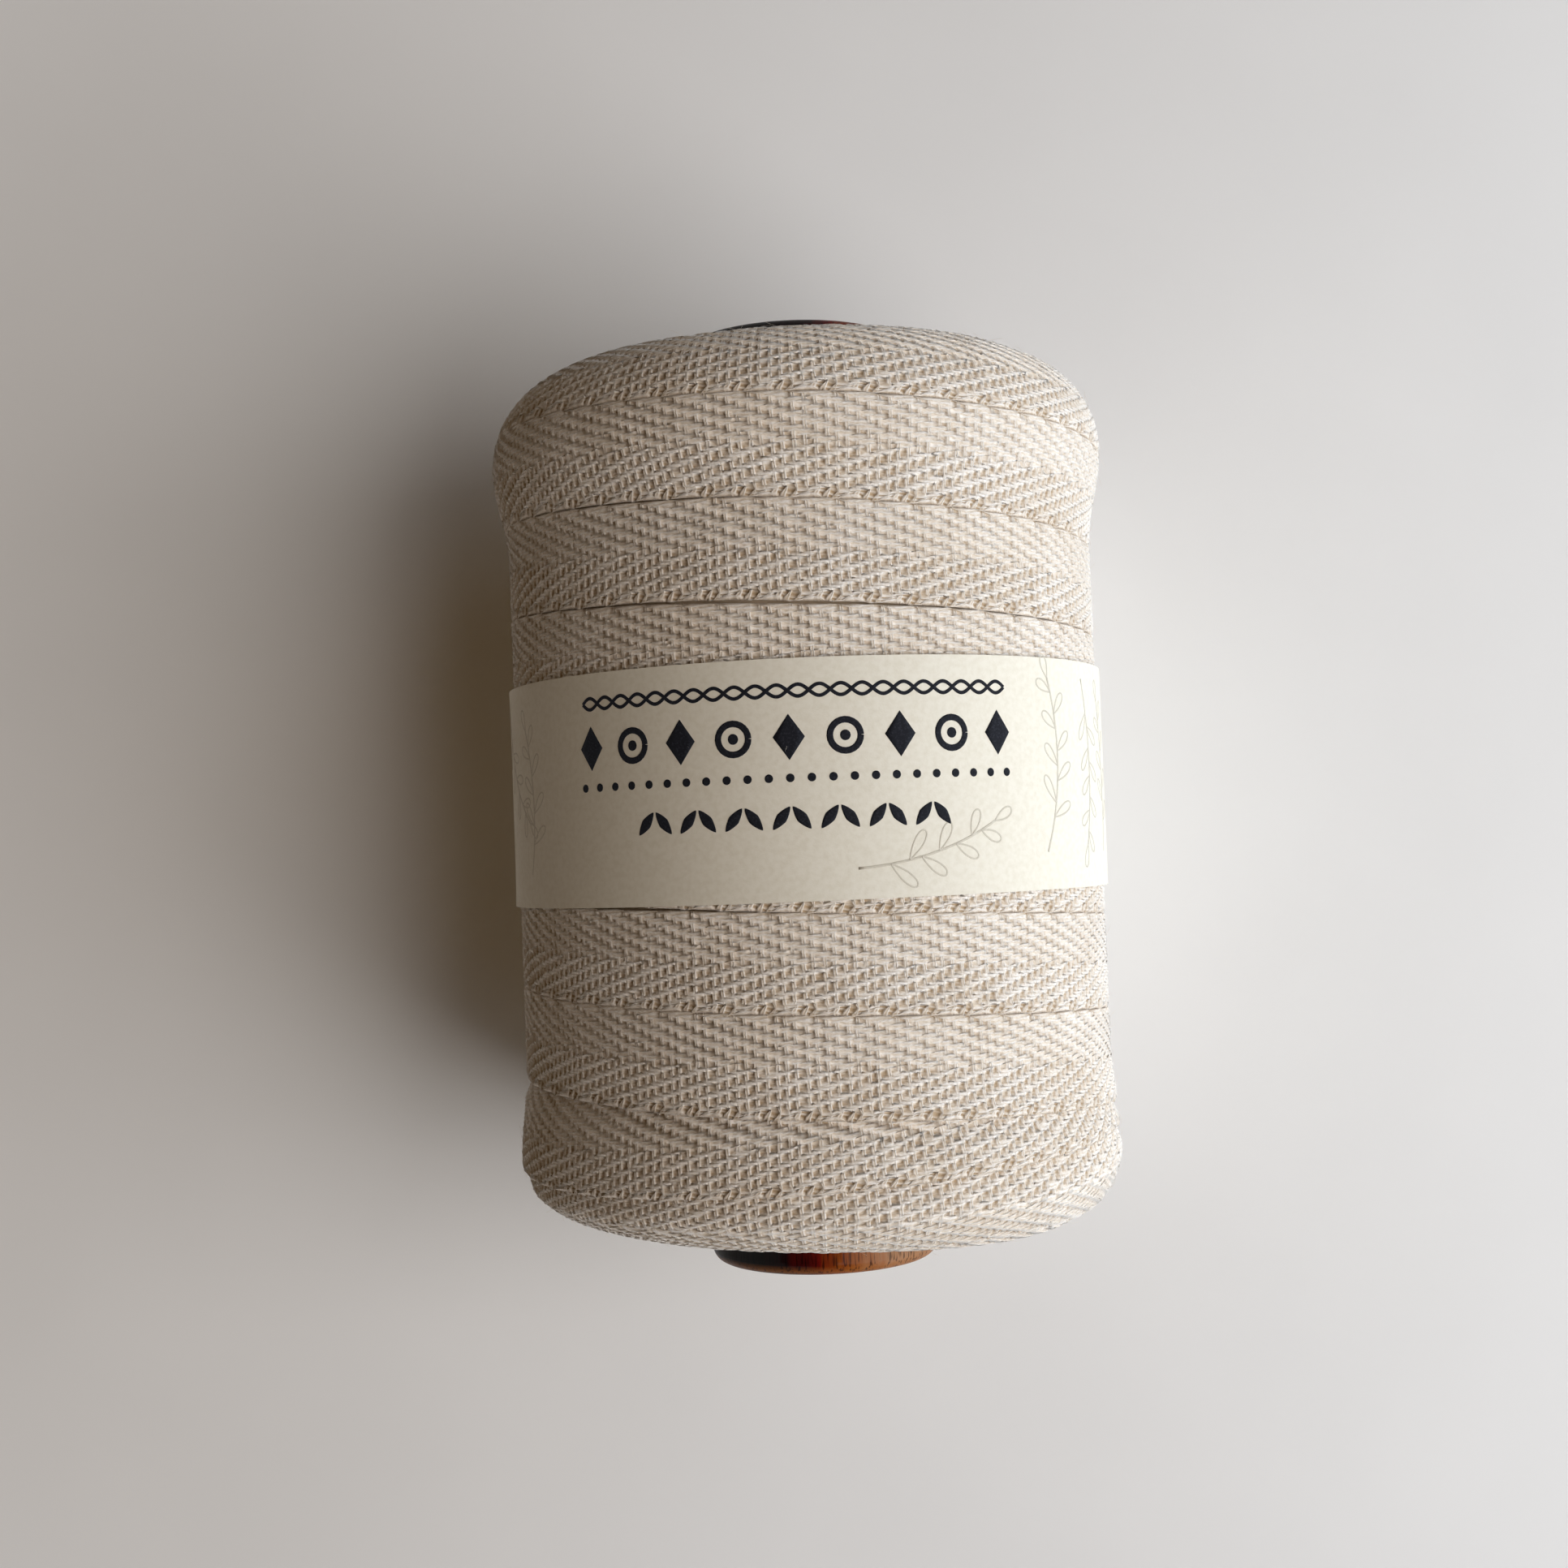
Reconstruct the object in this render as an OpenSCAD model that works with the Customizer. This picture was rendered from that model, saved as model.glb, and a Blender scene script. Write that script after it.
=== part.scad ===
// Spool of cotton herringbone twill tape, lying on its side.
// The spool's axis runs along Y at axis_height, and the surface it lies on is z = 0.

/* [Wooden spool] */
// Length of the turned spool from end face to end face
spool_length = 98; // [90:1:120]
// Diameter of the collar at each end
collar_diameter = 24; // [21:0.5:30]
// Length of each collar, from its end face to its cove
collar_length = 5.5; // [4.5:0.25:8]
// Diameter of the barrel between the collars
barrel_diameter = 17; // [14:0.5:19]
// Radius of the rounded rim of each end face
rim_radius = 1.4; // [0.6:0.1:2]
// Diameter of the bore for a spindle
bore_diameter = 8; // [5:0.5:10]
// Depth of the chamfer at each mouth of the bore
mouth_chamfer = 1; // [0.4:0.1:1.5]

/* [Twill tape] */
// Diameter of the wound tape at its waist
waist_diameter = 62.2; // [58:0.2:70]
// How far the wound tape rises above its waist near each end
bulge_rise = 1.6; // [1.2:0.1:2.4]
// Length over which the tape rises to its bulge
bulge_run = 10; // [8:0.5:14]
// Radius of the shoulder at each end of the wound tape
shoulder_radius = 9.5; // [8:0.5:11]
// Length of wood that stands out of the tape at each end
wood_showing = 3.3; // [2.4:0.1:4]
// Width of one turn of the outer layer
turn_width = 9.2; // [8:0.1:10.5]
// Gap between one turn and the next
turn_gap = 0.45; // [0.44:0.01:0.8]
// Thickness of the tape
tape_thickness = 0.7; // [0.5:0.05:0.9]
// Place along the top line where two turns of the outer layer meet
seam_place = -2; // [-4:0.1:4]
// Reach of the outer layer's middle line past the start of each shoulder
end_reach = 14; // [11:0.25:16]
// Depth to which the tape is pressed flat where it lies on the surface
flat_depth = 0.5; // [0.3:0.05:0.6]
// Radial spacing of the tape edges that show on each end
edge_spacing = 2.2; // [1.6:0.1:3]
// How far each of those edges stands out
edge_relief = 0.5; // [0.3:0.05:0.8]

/* [Paper band] */
// Width of the band
band_width = 22.6; // [15:0.2:30]
// Thickness of the paper
band_thickness = 0.25; // [0.15:0.01:0.3]
// Length of the glued overlap
band_overlap = 12; // [8:0.5:20]
// Distance of the band's middle from the spool's middle
band_offset = 0.8; // [-4:0.1:4]

/* [Clearances] */
// Between the band and the tape
band_clearance = 0.2; // [0.15:0.01:0.3]
// Between the outer layer and the layers under it
layer_clearance = 0.1; // [0.05:0.01:0.2]
// Between the wood and the tape wound on it
hub_clearance = 0.1; // [0.05:0.01:0.2]

/* [Hidden] */
$fn = 96;

// Steps in the outline of a round stretch
arc_steps = 8;

collar_radius = collar_diameter / 2;
barrel_radius = barrel_diameter / 2;
waist_radius = waist_diameter / 2;
bulge_radius = waist_radius + bulge_rise;
spool_half = spool_length / 2;
bundle_half = spool_half - wood_showing;

// The tape's surface is straight up to shoulder_start, then round, then flat across the end
shoulder_start = bundle_half - shoulder_radius;
shoulder_length = shoulder_radius * PI / 2;
end_face_radius = bulge_radius - shoulder_radius;

// The outer layer is swept as rings of six points, two of them astride its lowest line
rings_per_turn = 24;
ring_step = 360 / rings_per_turn;
chord_factor = cos(ring_step / 2);
turn_pitch = turn_width + turn_gap;
half_turn = turn_width / 2;
axis_height = bulge_radius * chord_factor - flat_depth;

// A turn bends once, along its middle line, so its inner side cuts across the shoulder's arc
inner_shoulder_radius = shoulder_radius - tape_thickness;
bend_angle = half_turn / 2 / inner_shoulder_radius * 180 / PI;
bend_sag = inner_shoulder_radius * (1 - cos(bend_angle));
core_depth = tape_thickness + bend_sag + layer_clearance;

// Points of a round stretch of an outline
function arc_points(centre, radius, from, to) = [
    for (i = [0:arc_steps])
    let (angle = from + (to - from) * i / arc_steps)
    centre + radius * [cos(angle), sin(angle)]
];

// The other half of an outline of [radius, place] points, so that it runs from end to end
function both_halves(half) = concat(
    [for (i = [len(half) - 1:-1:0]) [half[i][0], -half[i][1]]],
    half
);

// Radius of the tape's surface on the straight part, at a distance from the middle
function straight_radius(distance) =
    let (rise = max(0, min(1, (distance - shoulder_start + bulge_run) / bulge_run)))
    waist_radius + bulge_rise * (1 - cos(180 * rise)) / 2;

// Radius and place along the axis of a spot on or under the tape's surface: u is its length
// along the surface from the middle, and depth how deep it lies
function tape_spot(u, depth) =
    let (past = abs(u) - shoulder_start)
    let (angle = past / shoulder_radius * 180 / PI, radius = shoulder_radius - depth)
    past <= 0 ? [straight_radius(abs(u)) - depth, u] :
    past <= shoulder_length ?
        [end_face_radius + radius * cos(angle), sign(u) * (shoulder_start + radius * sin(angle))] :
    [end_face_radius + shoulder_length - past, sign(u) * (bundle_half - depth)];

// Length along the surface of the outer layer's middle line, at an angle from the top line
function winding_u(angle) = seam_place + turn_pitch * (1 / 2 - angle / 360);

winding_reach = shoulder_start + end_reach;
first_ring = -floor((winding_reach - winding_u(0)) / turn_pitch * rings_per_turn);
last_ring = floor((winding_reach + winding_u(0)) / turn_pitch * rings_per_turn);

// Three points on the outer side of the turn and three on its inner side, each moved along the
// turn, and pressed flat on the surface that the spool lies on
function ring_points(ring, along) = [
    for (corner = [[1, 0], [0, 0], [-1, 0], [-1, 1], [0, 1], [1, 1]])
    let (angle = (ring + 0.5) * ring_step)
    let (spot = tape_spot(winding_u(angle) + corner[0] * half_turn, corner[1] * tape_thickness))
    let (height = axis_height + spot[0] * cos(angle) - along * sin(angle))
    [spot[0] * sin(angle) + along * cos(angle), spot[1], max(0, height)]
];

// The cut ends run straight on for one thickness of the tape
winding_rings = concat(
    [ring_points(first_ring, -tape_thickness)],
    [for (ring = [first_ring:last_ring]) ring_points(ring, 0)],
    [ring_points(last_ring, tape_thickness)]
);

// Least distance between the points of one turn and those of the next
least_gap = min([
    for (i = [1:len(winding_rings) - rings_per_turn - 2])
    for (shift = [-1:1])
    for (a = winding_rings[i])
    for (b = winding_rings[i + rings_per_turn + shift])
    norm(a - b)
]);
echo(turns = (last_ring - first_ring) / rings_per_turn, least_gap_of_the_winding = least_gap);

// Triangles over the first end, the sides and the last end of the swept turns
last_corner = 6 * (len(winding_rings) - 1);
winding_faces = concat(
    [[0, 1, 4], [0, 4, 5], [1, 2, 3], [1, 3, 4]],
    [
        for (i = [0:len(winding_rings) - 2])
        for (k = [0:5])
        let (a = 6 * i + k, b = 6 * i + (k + 1) % 6)
        each [[a, a + 6, b], [b, a + 6, b + 6]]
    ],
    [
        for (face = [[0, 4, 1], [0, 5, 4], [1, 3, 2], [1, 4, 3]])
        [for (corner = face) corner + last_corner]
    ]
);

// Half outline of the spool, or of the hollow that the tape leaves round it
cove_radius = collar_radius - barrel_radius;
collar_start = spool_half - collar_length;

function hub_outline(clearance) = concat(
    arc_points([collar_radius, collar_start - cove_radius], cove_radius - clearance, 180, 90),
    [[collar_radius + clearance, collar_start - clearance]]
);

spool_outline = concat(
    hub_outline(0),
    arc_points([collar_radius - rim_radius, spool_half - rim_radius], rim_radius, 0, 90),
    [[0, spool_half]]
);

// Half outline of the inner layers. The edges of their turns show on the end face, from the
// outer layer's edge in to the collar.
hollow_radius = collar_radius + hub_clearance;
outer_edge = tape_spot(winding_reach + half_turn, core_depth);
edges_radius = outer_edge[0] * chord_factor - turn_gap;
edge_count = floor((edges_radius - hollow_radius) / edge_spacing);

function core_spot(u) = let (spot = tape_spot(u, core_depth)) [spot[0] * chord_factor, spot[1]];

core_outline = concat(
    [
        for (i = [0:arc_steps])
        core_spot(shoulder_start - bulge_run * (1 - i / arc_steps))
    ],
    [
        for (i = [1:arc_steps])
        core_spot(shoulder_start + (end_reach + half_turn) * i / arc_steps)
    ],
    [[edges_radius, outer_edge[1]]],
    [
        for (i = [0:edge_count])
        let (radius = edges_radius - edge_spacing * i)
        each [
            [radius, bundle_half],
            [max(hollow_radius, radius - edge_spacing), bundle_half - edge_relief]
        ]
    ]
);

hollow_outline = concat(hub_outline(hub_clearance), [[hollow_radius, spool_half]]);

band_inner_radius = waist_radius + band_clearance;
band_outer_radius = band_inner_radius + band_thickness;
overlap_angle = band_overlap / band_outer_radius * 180 / PI;

// Stands a shape that is revolved about Z along the spool's axis
module along_spool() {
    translate([0, 0, axis_height])
    rotate([-90, 0, 0])
    children();
}

// Solid of revolution with a half outline and its mirror image
module turned(half) {
    rotate_extrude()
    polygon(concat([[0, -spool_length]], both_halves(half), [[0, spool_length]]));
}

// Spool turned from one piece of wood, with coves up to its collars and a bore right through
module wood_spool() {
    color("#4a2416")
    along_spool()
    difference() {
        turned(spool_outline);
        cylinder(h = spool_length + 2, d = bore_diameter, center = true);
        for (end = [0, 1])
        mirror([0, 0, end])
        translate([0, 0, spool_half - mouth_chamfer])
        cylinder(
            h = 2 * mouth_chamfer,
            r1 = bore_diameter / 2,
            r2 = bore_diameter / 2 + 2 * mouth_chamfer
        );
    }
}

// All the layers of tape under the one that shows, as one plain body
module tape_inner_layers() {
    color("#c9baa6")
    along_spool()
    difference() {
        turned(core_outline);
        turned(hollow_outline);
    }
}

// The layer that shows: one unbroken run of tape, turn beside turn
module tape_outer_layer() {
    color("#ddd0c0")
    polyhedron([for (ring = winding_rings) each ring], winding_faces);
}

// Strip of paper round the waist, its ends glued over each other at the lowest line
module paper_band() {
    color("#ece6d6")
    along_spool()
    translate([0, 0, band_offset - band_width / 2])
    union() {
        rotate_extrude()
        translate([band_inner_radius, 0])
        square([band_thickness, band_width]);
        rotate([0, 0, 90 - overlap_angle / 2])
        rotate_extrude(angle = overlap_angle)
        translate([band_outer_radius, 0])
        square([band_thickness, band_width]);
    }
}

wood_spool();
tape_inner_layers();
tape_outer_layer();
paper_band();
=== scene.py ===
"""Spool of cotton herringbone twill tape: woven turns, turned wood, paper band and studio.

Lengths in the classes are millimetres, and meshes are written in metres in the model's own frame:
the spool's axis runs along Y, and angles about it are counted from its top line towards +X.
"""

import logging
import math
from collections.abc import Callable
from dataclasses import dataclass, field
from enum import Enum

import bpy
import numpy as np
from mathutils import Matrix, Vector


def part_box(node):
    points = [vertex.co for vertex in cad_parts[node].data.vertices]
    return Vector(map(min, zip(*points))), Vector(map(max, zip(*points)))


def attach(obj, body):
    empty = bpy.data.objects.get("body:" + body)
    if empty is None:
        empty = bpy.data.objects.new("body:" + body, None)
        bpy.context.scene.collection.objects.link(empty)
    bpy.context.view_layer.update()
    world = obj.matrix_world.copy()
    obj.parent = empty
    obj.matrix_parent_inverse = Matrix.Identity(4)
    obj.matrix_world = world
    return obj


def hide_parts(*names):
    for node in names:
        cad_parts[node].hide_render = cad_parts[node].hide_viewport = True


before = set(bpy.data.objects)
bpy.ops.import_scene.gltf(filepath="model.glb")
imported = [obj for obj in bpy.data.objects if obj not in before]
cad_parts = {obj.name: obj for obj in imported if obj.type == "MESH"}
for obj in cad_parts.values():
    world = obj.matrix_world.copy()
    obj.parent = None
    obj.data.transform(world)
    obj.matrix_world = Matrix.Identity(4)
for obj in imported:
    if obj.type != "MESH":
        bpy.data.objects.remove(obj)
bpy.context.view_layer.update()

MM = 0.001
TURN = 2 * math.pi
MERGE_DISTANCE = 0.2e-6
Array = np.ndarray
Curve = Callable[[Array], Array]
Stops = tuple[tuple[float, str], ...]
Rows = tuple[tuple[float, ...], ...]
Tree = bpy.types.NodeTree
Socket = bpy.types.NodeSocket
log = logging.getLogger("tape_spool")


class Body(Enum):
    """The bodies that move on their own."""

    SPOOL = "wound_spool"
    BAND = "band"


class Slot(Enum):
    """The finishes that the record names."""

    WOOD = "stained_wood"
    COTTON = "cotton_tape"
    PAPER = "band_paper"


class Side(Enum):
    """The two ends of the bundle, as the sign of their place along Y."""

    FAR = 1
    NEAR = -1


# ---------------------------------------------------------------- finishes


def linear(colour: str) -> tuple[float, float, float, float]:
    """Turns an sRGB hex colour to the linear values that the shaders take.

    Args:
        colour: Colour as "#rrggbb".

    Returns:
        Red, green, blue and an alpha of 1.
    """
    parts = [int(colour[i:i + 2], 16) / 255 for i in (1, 3, 5)]
    red, green, blue = (c / 12.92 if c <= 0.04045 else ((c + 0.055) / 1.055) ** 2.4 for c in parts)
    return red, green, blue, 1.0


def add_node(
    tree: Tree, kind: str, inputs: dict | None = None, stops: Stops = (), **settings: object,
) -> bpy.types.Node:
    """Adds one node with its settings, input values and links.

    A Mix node's inputs go by number: 0 is the share of its second value, 2 and 3 are the two
    values as numbers, and 6 and 7 are the two as colours. Its output 0 is a number and 2 a colour.

    Args:
        tree: Node tree that takes the node.
        kind: Blender's name for the type of node.
        inputs: Input name or number to the value, or the output socket, that goes there.
        stops: For a colour ramp, places from 0 to 1, each with its sRGB hex colour.
        **settings: Options of the node itself.

    Returns:
        The new node.
    """
    node = tree.nodes.new(kind)
    for name, value in settings.items():
        setattr(node, name, value)
    for name, value in (inputs or {}).items():
        if isinstance(value, Socket):
            tree.links.new(value, node.inputs[name])
        else:
            node.inputs[name].default_value = value
    if stops:
        elements = node.color_ramp.elements
        while len(elements) < len(stops):
            elements.new(0.5)
        for element, (place, colour) in zip(elements, stops):
            element.position = place
            element.color = linear(colour)
    return node


class Finish:
    """What all finishes share: a named material with one Principled shader."""

    name: str
    roughness: float

    def start(self, **shader: object) -> tuple[bpy.types.Material, Tree, bpy.types.Node]:
        """Makes the material and its shader.

        Args:
            **shader: Constant inputs of the shader, with underscores for spaces.

        Returns:
            The material, its node tree and the Principled shader.
        """
        material = bpy.data.materials.new(self.name)
        material.use_nodes = True
        tree = material.node_tree
        tree.nodes.clear()
        values = {key.replace("_", " "): value for key, value in shader.items()}
        principled = add_node(tree, "ShaderNodeBsdfPrincipled", {"Roughness": self.roughness, **values})
        add_node(tree, "ShaderNodeOutputMaterial", {"Surface": principled.outputs[0]})
        return material, tree, principled


@dataclass(frozen=True)
class UnbleachedCotton(Finish):
    """Loom-state cotton yarn, unbleached and woven: matt, warm white and fuzzy.

    The yarns' crowns are the palest, and the colour runs browner down between them: this is
    painted shade in the hollows, as is a darker tint at each yarn's sides where the yarns meet.
    A few specks of seed husk are left in, as in all unbleached cotton. The map runs along the
    tape in mm, so each yarn's roundness is drawn at its true place.
    """

    end_pitch: float
    pick_pitch: float
    strand_offset: float
    name: str = "unbleached_cotton_twill"
    roughness: float = 0.95
    # The low stops are painted shade: the colour goes brown as the yarn height falls into the hollows.
    yarn: Stops = ((0.05, "#c6b39b"), (0.55, "#f9f3ec"), (0.85, "#fdfaf7"))
    # A darker tint at each yarn's sides: painted shade where the yarns meet.
    crease_shade: Stops = ((0.4, "#ffffff"), (1.0, "#efe7da"))
    crease_shade_share: float = 0.85
    fibres: Stops = ((0.3, "#e6e0d6"), (0.6, "#ffffff"))
    batches: Stops = ((0.3, "#f7f4f0"), (0.7, "#ffffff"))
    batch_size: float = 7.0
    husk: str = "#5a3a22"
    husk_cell: float = 6.0
    husk_radius: float = 0.14
    husk_core: float = 0.6
    strand_half: float = 0.095
    fibre_across: float = 0.07
    fibre_along: float = 0.4
    fibre_twist: float = 0.5
    relief: float = 0.05

    def build(self) -> bpy.types.Material:
        """Builds the material from the woven pieces' own map and attributes.

        Returns:
            The material.
        """
        material, tree, shader = self.start(
            Sheen_Weight=0.5, Sheen_Roughness=0.5, Specular_IOR_Level=0.15,
        )
        run = add_node(tree, "ShaderNodeUVMap", uv_map="tape_run").outputs["UV"]
        height = add_node(tree, "ShaderNodeAttribute", attribute_name="yarn_height").outputs["Fac"]
        weft = add_node(tree, "ShaderNodeAttribute", attribute_name="weft_share").outputs["Fac"]
        offset = self.yarn_offset(tree, run, weft)
        grain = self.fibre_grain(tree, run, weft)

        # Batches of yarn differ a little in tone over several millimetres
        place = add_node(tree, "ShaderNodeTexCoord").outputs["Object"]
        scale = 1 / (self.batch_size * MM)
        batch = add_node(
            tree, "ShaderNodeTexNoise", {"Vector": place, "Scale": scale, "Detail": 2.0},
        ).outputs["Fac"]
        # Painted shade: browner with depth in the hollows between yarns.
        colour = add_node(tree, "ShaderNodeValToRGB", {"Fac": height}, self.yarn).outputs["Color"]
        # The first tint is painted shade at the yarns' sides; the fibres and batches are the cotton's own
        # tone.
        for factor, stops, share in (
            (offset, self.crease_shade, self.crease_shade_share),
            (grain, self.fibres, 1.0),
            (batch, self.batches, 1.0),
        ):
            tint = add_node(tree, "ShaderNodeValToRGB", {"Fac": factor}, stops).outputs["Color"]
            colour = add_node(
                tree, "ShaderNodeMix", {0: share, 6: colour, 7: tint},
                data_type="RGBA", blend_type="MULTIPLY",
            ).outputs[2]

        cells = add_node(
            tree, "ShaderNodeTexVoronoi", {"Vector": run, "Scale": 1 / self.husk_cell}, feature="F1",
        )
        near = add_node(
            tree, "ShaderNodeMapRange",
            {
                "Value": cells.outputs["Distance"],
                "From Min": self.husk_radius / self.husk_cell,
                "From Max": self.husk_core * self.husk_radius / self.husk_cell,
            },
        ).outputs[0]
        speckled = add_node(
            tree, "ShaderNodeMix", {0: near, 6: colour, 7: linear(self.husk)}, data_type="RGBA",
        )
        tree.links.new(speckled.outputs[2], shader.inputs["Base Color"])

        round_side = add_node(tree, "ShaderNodeMath", {0: offset, 1: offset}, operation="MULTIPLY")
        rough = add_node(
            tree, "ShaderNodeMath", {0: grain, 1: round_side.outputs[0]}, operation="SUBTRACT",
        ).outputs[0]
        bump = add_node(
            tree, "ShaderNodeBump", {"Height": rough, "Strength": 0.8, "Distance": self.relief * MM},
        )
        tree.links.new(bump.outputs[0], shader.inputs["Normal"])
        return material

    def yarn_offset(self, tree: Tree, run: Socket, weft: Socket) -> Socket:
        """Adds the distance from the middle of the yarn that shows, 0 to 1 at its side.

        Args:
            tree: Node tree that takes the nodes.
            run: Map along and across the tape.
            weft: Share of weft that shows.

        Returns:
            The distance.
        """
        axes = add_node(tree, "ShaderNodeSeparateXYZ", {0: run}).outputs
        offsets = []
        for axis, pitch in ((axes["Y"], self.end_pitch), (axes["X"], self.pick_pitch)):
            offset = add_node(tree, "ShaderNodeMath", {0: axis, 1: pitch}, operation="DIVIDE").outputs[0]
            for operation in ("FRACT", "SUBTRACT", "ABSOLUTE"):
                offset = add_node(
                    tree, "ShaderNodeMath", {0: offset, 1: 0.5}, operation=operation,
                ).outputs[0]
            offsets.append(offset)
        warp = add_node(
            tree, "ShaderNodeMath", {0: offsets[0], 1: 2.0}, operation="MULTIPLY", use_clamp=True,
        )
        strand_place = self.strand_offset / self.pick_pitch
        strand = offsets[1]
        for operation, value, clamped in (
            ("SUBTRACT", strand_place, False),
            ("ABSOLUTE", 0.0, False),
            ("MULTIPLY", self.pick_pitch / self.strand_half, True),
        ):
            strand = add_node(
                tree, "ShaderNodeMath", {0: strand, 1: value}, operation=operation, use_clamp=clamped,
            ).outputs[0]
        return add_node(
            tree, "ShaderNodeMix", {0: weft, 2: warp.outputs[0], 3: strand}, data_type="FLOAT",
        ).outputs[0]

    def fibre_grain(self, tree: Tree, run: Socket, weft: Socket) -> Socket:
        """Adds the grain of twisted fibres, which lies along the yarn that shows.

        Args:
            tree: Node tree that takes the nodes.
            run: Map along and across the tape.
            weft: Share of weft that shows.

        Returns:
            The grain, from 0 to 1.
        """
        along, across = 1 / self.fibre_along, 1 / self.fibre_across
        twist = (0, 0, self.fibre_twist)
        grains = []
        for scale in ((along, across, 1), (across, along, 1)):
            turned = add_node(
                tree, "ShaderNodeMapping", {"Vector": run, "Rotation": twist, "Scale": scale},
            )
            grain = add_node(
                tree, "ShaderNodeTexNoise", {"Vector": turned.outputs[0], "Scale": 1.0, "Detail": 2.0},
            )
            grains.append(grain.outputs["Fac"])
        return add_node(
            tree, "ShaderNodeMix", {0: weft, 2: grains[0], 3: grains[1]}, data_type="FLOAT",
        ).outputs[0]


@dataclass(frozen=True)
class CottonFuzz(Finish):
    """Loose cotton fibres that stand off the yarn: thin, matt and almost white."""

    name: str = "loose_cotton_fibre"
    roughness: float = 1.0
    tones: Stops = ((0.35, "#d8cbb8"), (0.65, "#f1e8da"))
    tone_scale: float = 900.0

    def build(self) -> bpy.types.Material:
        """Builds the material, a little darker here and there along the fibres.

        Returns:
            The material.
        """
        material, tree, shader = self.start(Sheen_Weight=0.2, Specular_IOR_Level=0.2)
        place = add_node(tree, "ShaderNodeTexCoord").outputs["Object"]
        cloud = add_node(
            tree, "ShaderNodeTexNoise", {"Vector": place, "Scale": self.tone_scale},
        ).outputs["Fac"]
        tone = add_node(tree, "ShaderNodeValToRGB", {"Fac": cloud}, self.tones).outputs["Color"]
        tree.links.new(tone, shader.inputs["Base Color"])
        return material


@dataclass(frozen=True)
class StainedBeech(Finish):
    """Beech turned between centres, stained dark brown and dipped in gloss varnish.

    The grain runs along the spool, and pores are darker than the wood round them. The colour
    runs from almost black on the -X side through red and amber to tan on the +X side: an uneven
    stain, with painted shade on the side away from the lamps and painted light on the side towards
    them. It is darker towards the far end, and the near rim has a paler amber band painted on as a
    highlight where its rounded edge catches the light.
    """

    axis_height: float
    collar_radius: float
    half_length: float
    name: str = "stained_varnished_beech"
    roughness: float = 0.4
    # Stain colours laid out from the -X side to the +X side, so the dark end is painted shade and the tan
    # end painted light.
    stain: Stops = (
        (0.08, "#0b0502"), (0.27, "#1b0508"), (0.46, "#5e0c06"), (0.64, "#86430c"), (0.86, "#9c7250"),
    )
    # Half-width in X and range on the ramp over which the colour goes from painted shade at -X to painted
    # light at +X.
    side_shade_span: float = 8.5
    depths: tuple[float, float] = (-0.35, 0.65)
    # How much darker the colour runs at the far end.
    far_darkening_amount: float = 0.3
    uneven: float = 0.35
    # Painted highlight: the paler amber on the near rim's rounded edge.
    rim_highlight_colour: str = "#96581c"
    rim_highlight_share: float = 0.6
    rim: float = 1.1
    pores: Stops = ((0.33, "#5a4a40"), (0.45, "#ffffff"))
    pore_share: float = 0.8
    grain_across: float = 1.1
    grain_along: float = 22.0
    patch: float = 9.0
    pore_across: float = 0.22
    pore_along: float = 2.6
    pore_depth: float = 0.04

    def build(self) -> bpy.types.Material:
        """Builds the material on Object coordinates, so that its grain runs along Y.

        Returns:
            The material.
        """
        material, tree, shader = self.start(
            Coat_Weight=0.12, Coat_Roughness=0.08, Coat_IOR=1.45, Specular_IOR_Level=0.05,
        )
        place = add_node(tree, "ShaderNodeTexCoord").outputs["Object"]
        noises = {}
        for name, across, along, detail in (
            ("grain", self.grain_across, self.grain_along, 4.0),
            ("pores", self.pore_across, self.pore_along, 1.0),
            ("patch", self.patch, self.patch, 1.0),
        ):
            scale = (1 / (across * MM), 1 / (along * MM), 1 / (across * MM))
            spot = add_node(tree, "ShaderNodeMapping", {"Vector": place, "Scale": scale}).outputs[0]
            noises[name] = add_node(
                tree, "ShaderNodeTexNoise", {"Vector": spot, "Scale": 1.0, "Detail": detail},
            ).outputs["Fac"]
        centred = add_node(
            tree, "ShaderNodeMapping", {"Vector": place, "Location": (0, 0, -self.axis_height * MM)},
        )
        axes = add_node(tree, "ShaderNodeSeparateXYZ", {0: centred.outputs[0]}).outputs

        # Painted shade at -X and painted light at +X, over an uneven stain.
        shade_and_stain_place = self.side_shade_and_stain(tree, axes, noises)
        wood = add_node(tree, "ShaderNodeValToRGB", {"Fac": shade_and_stain_place}, self.stain).outputs["Color"]
        # Painted highlight along the near rim.
        rim_lit = self.painted_rim_highlight(tree, axes)
        wood = add_node(
            tree, "ShaderNodeMix", {0: rim_lit, 6: wood, 7: linear(self.rim_highlight_colour)}, data_type="RGBA",
        ).outputs[2]
        pores = add_node(tree, "ShaderNodeValToRGB", {"Fac": noises["pores"]}, self.pores)
        colour = add_node(
            tree, "ShaderNodeMix", {0: self.pore_share, 6: wood, 7: pores.outputs["Color"]},
            data_type="RGBA", blend_type="MULTIPLY",
        ).outputs[2]
        tree.links.new(colour, shader.inputs["Base Color"])
        bump = add_node(
            tree, "ShaderNodeBump",
            {"Height": noises["pores"], "Strength": 0.35, "Distance": self.pore_depth * MM},
        )
        tree.links.new(bump.outputs[0], shader.inputs["Normal"])
        return material

    def side_shade_and_stain(
        self, tree: Tree, axes: bpy.types.NodeOutputs, noises: dict[str, Socket],
    ) -> Socket:
        """Adds the place on the stain's colours: low on the -X side and high on the +X side, as painted
        shade and painted light, lower towards the far end, and uneven.

        Args:
            tree: Node tree that takes the nodes.
            axes: Place on the spool, from the middle of its axis.
            noises: The wood's noises by name.

        Returns:
            The place on the colours.
        """
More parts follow.
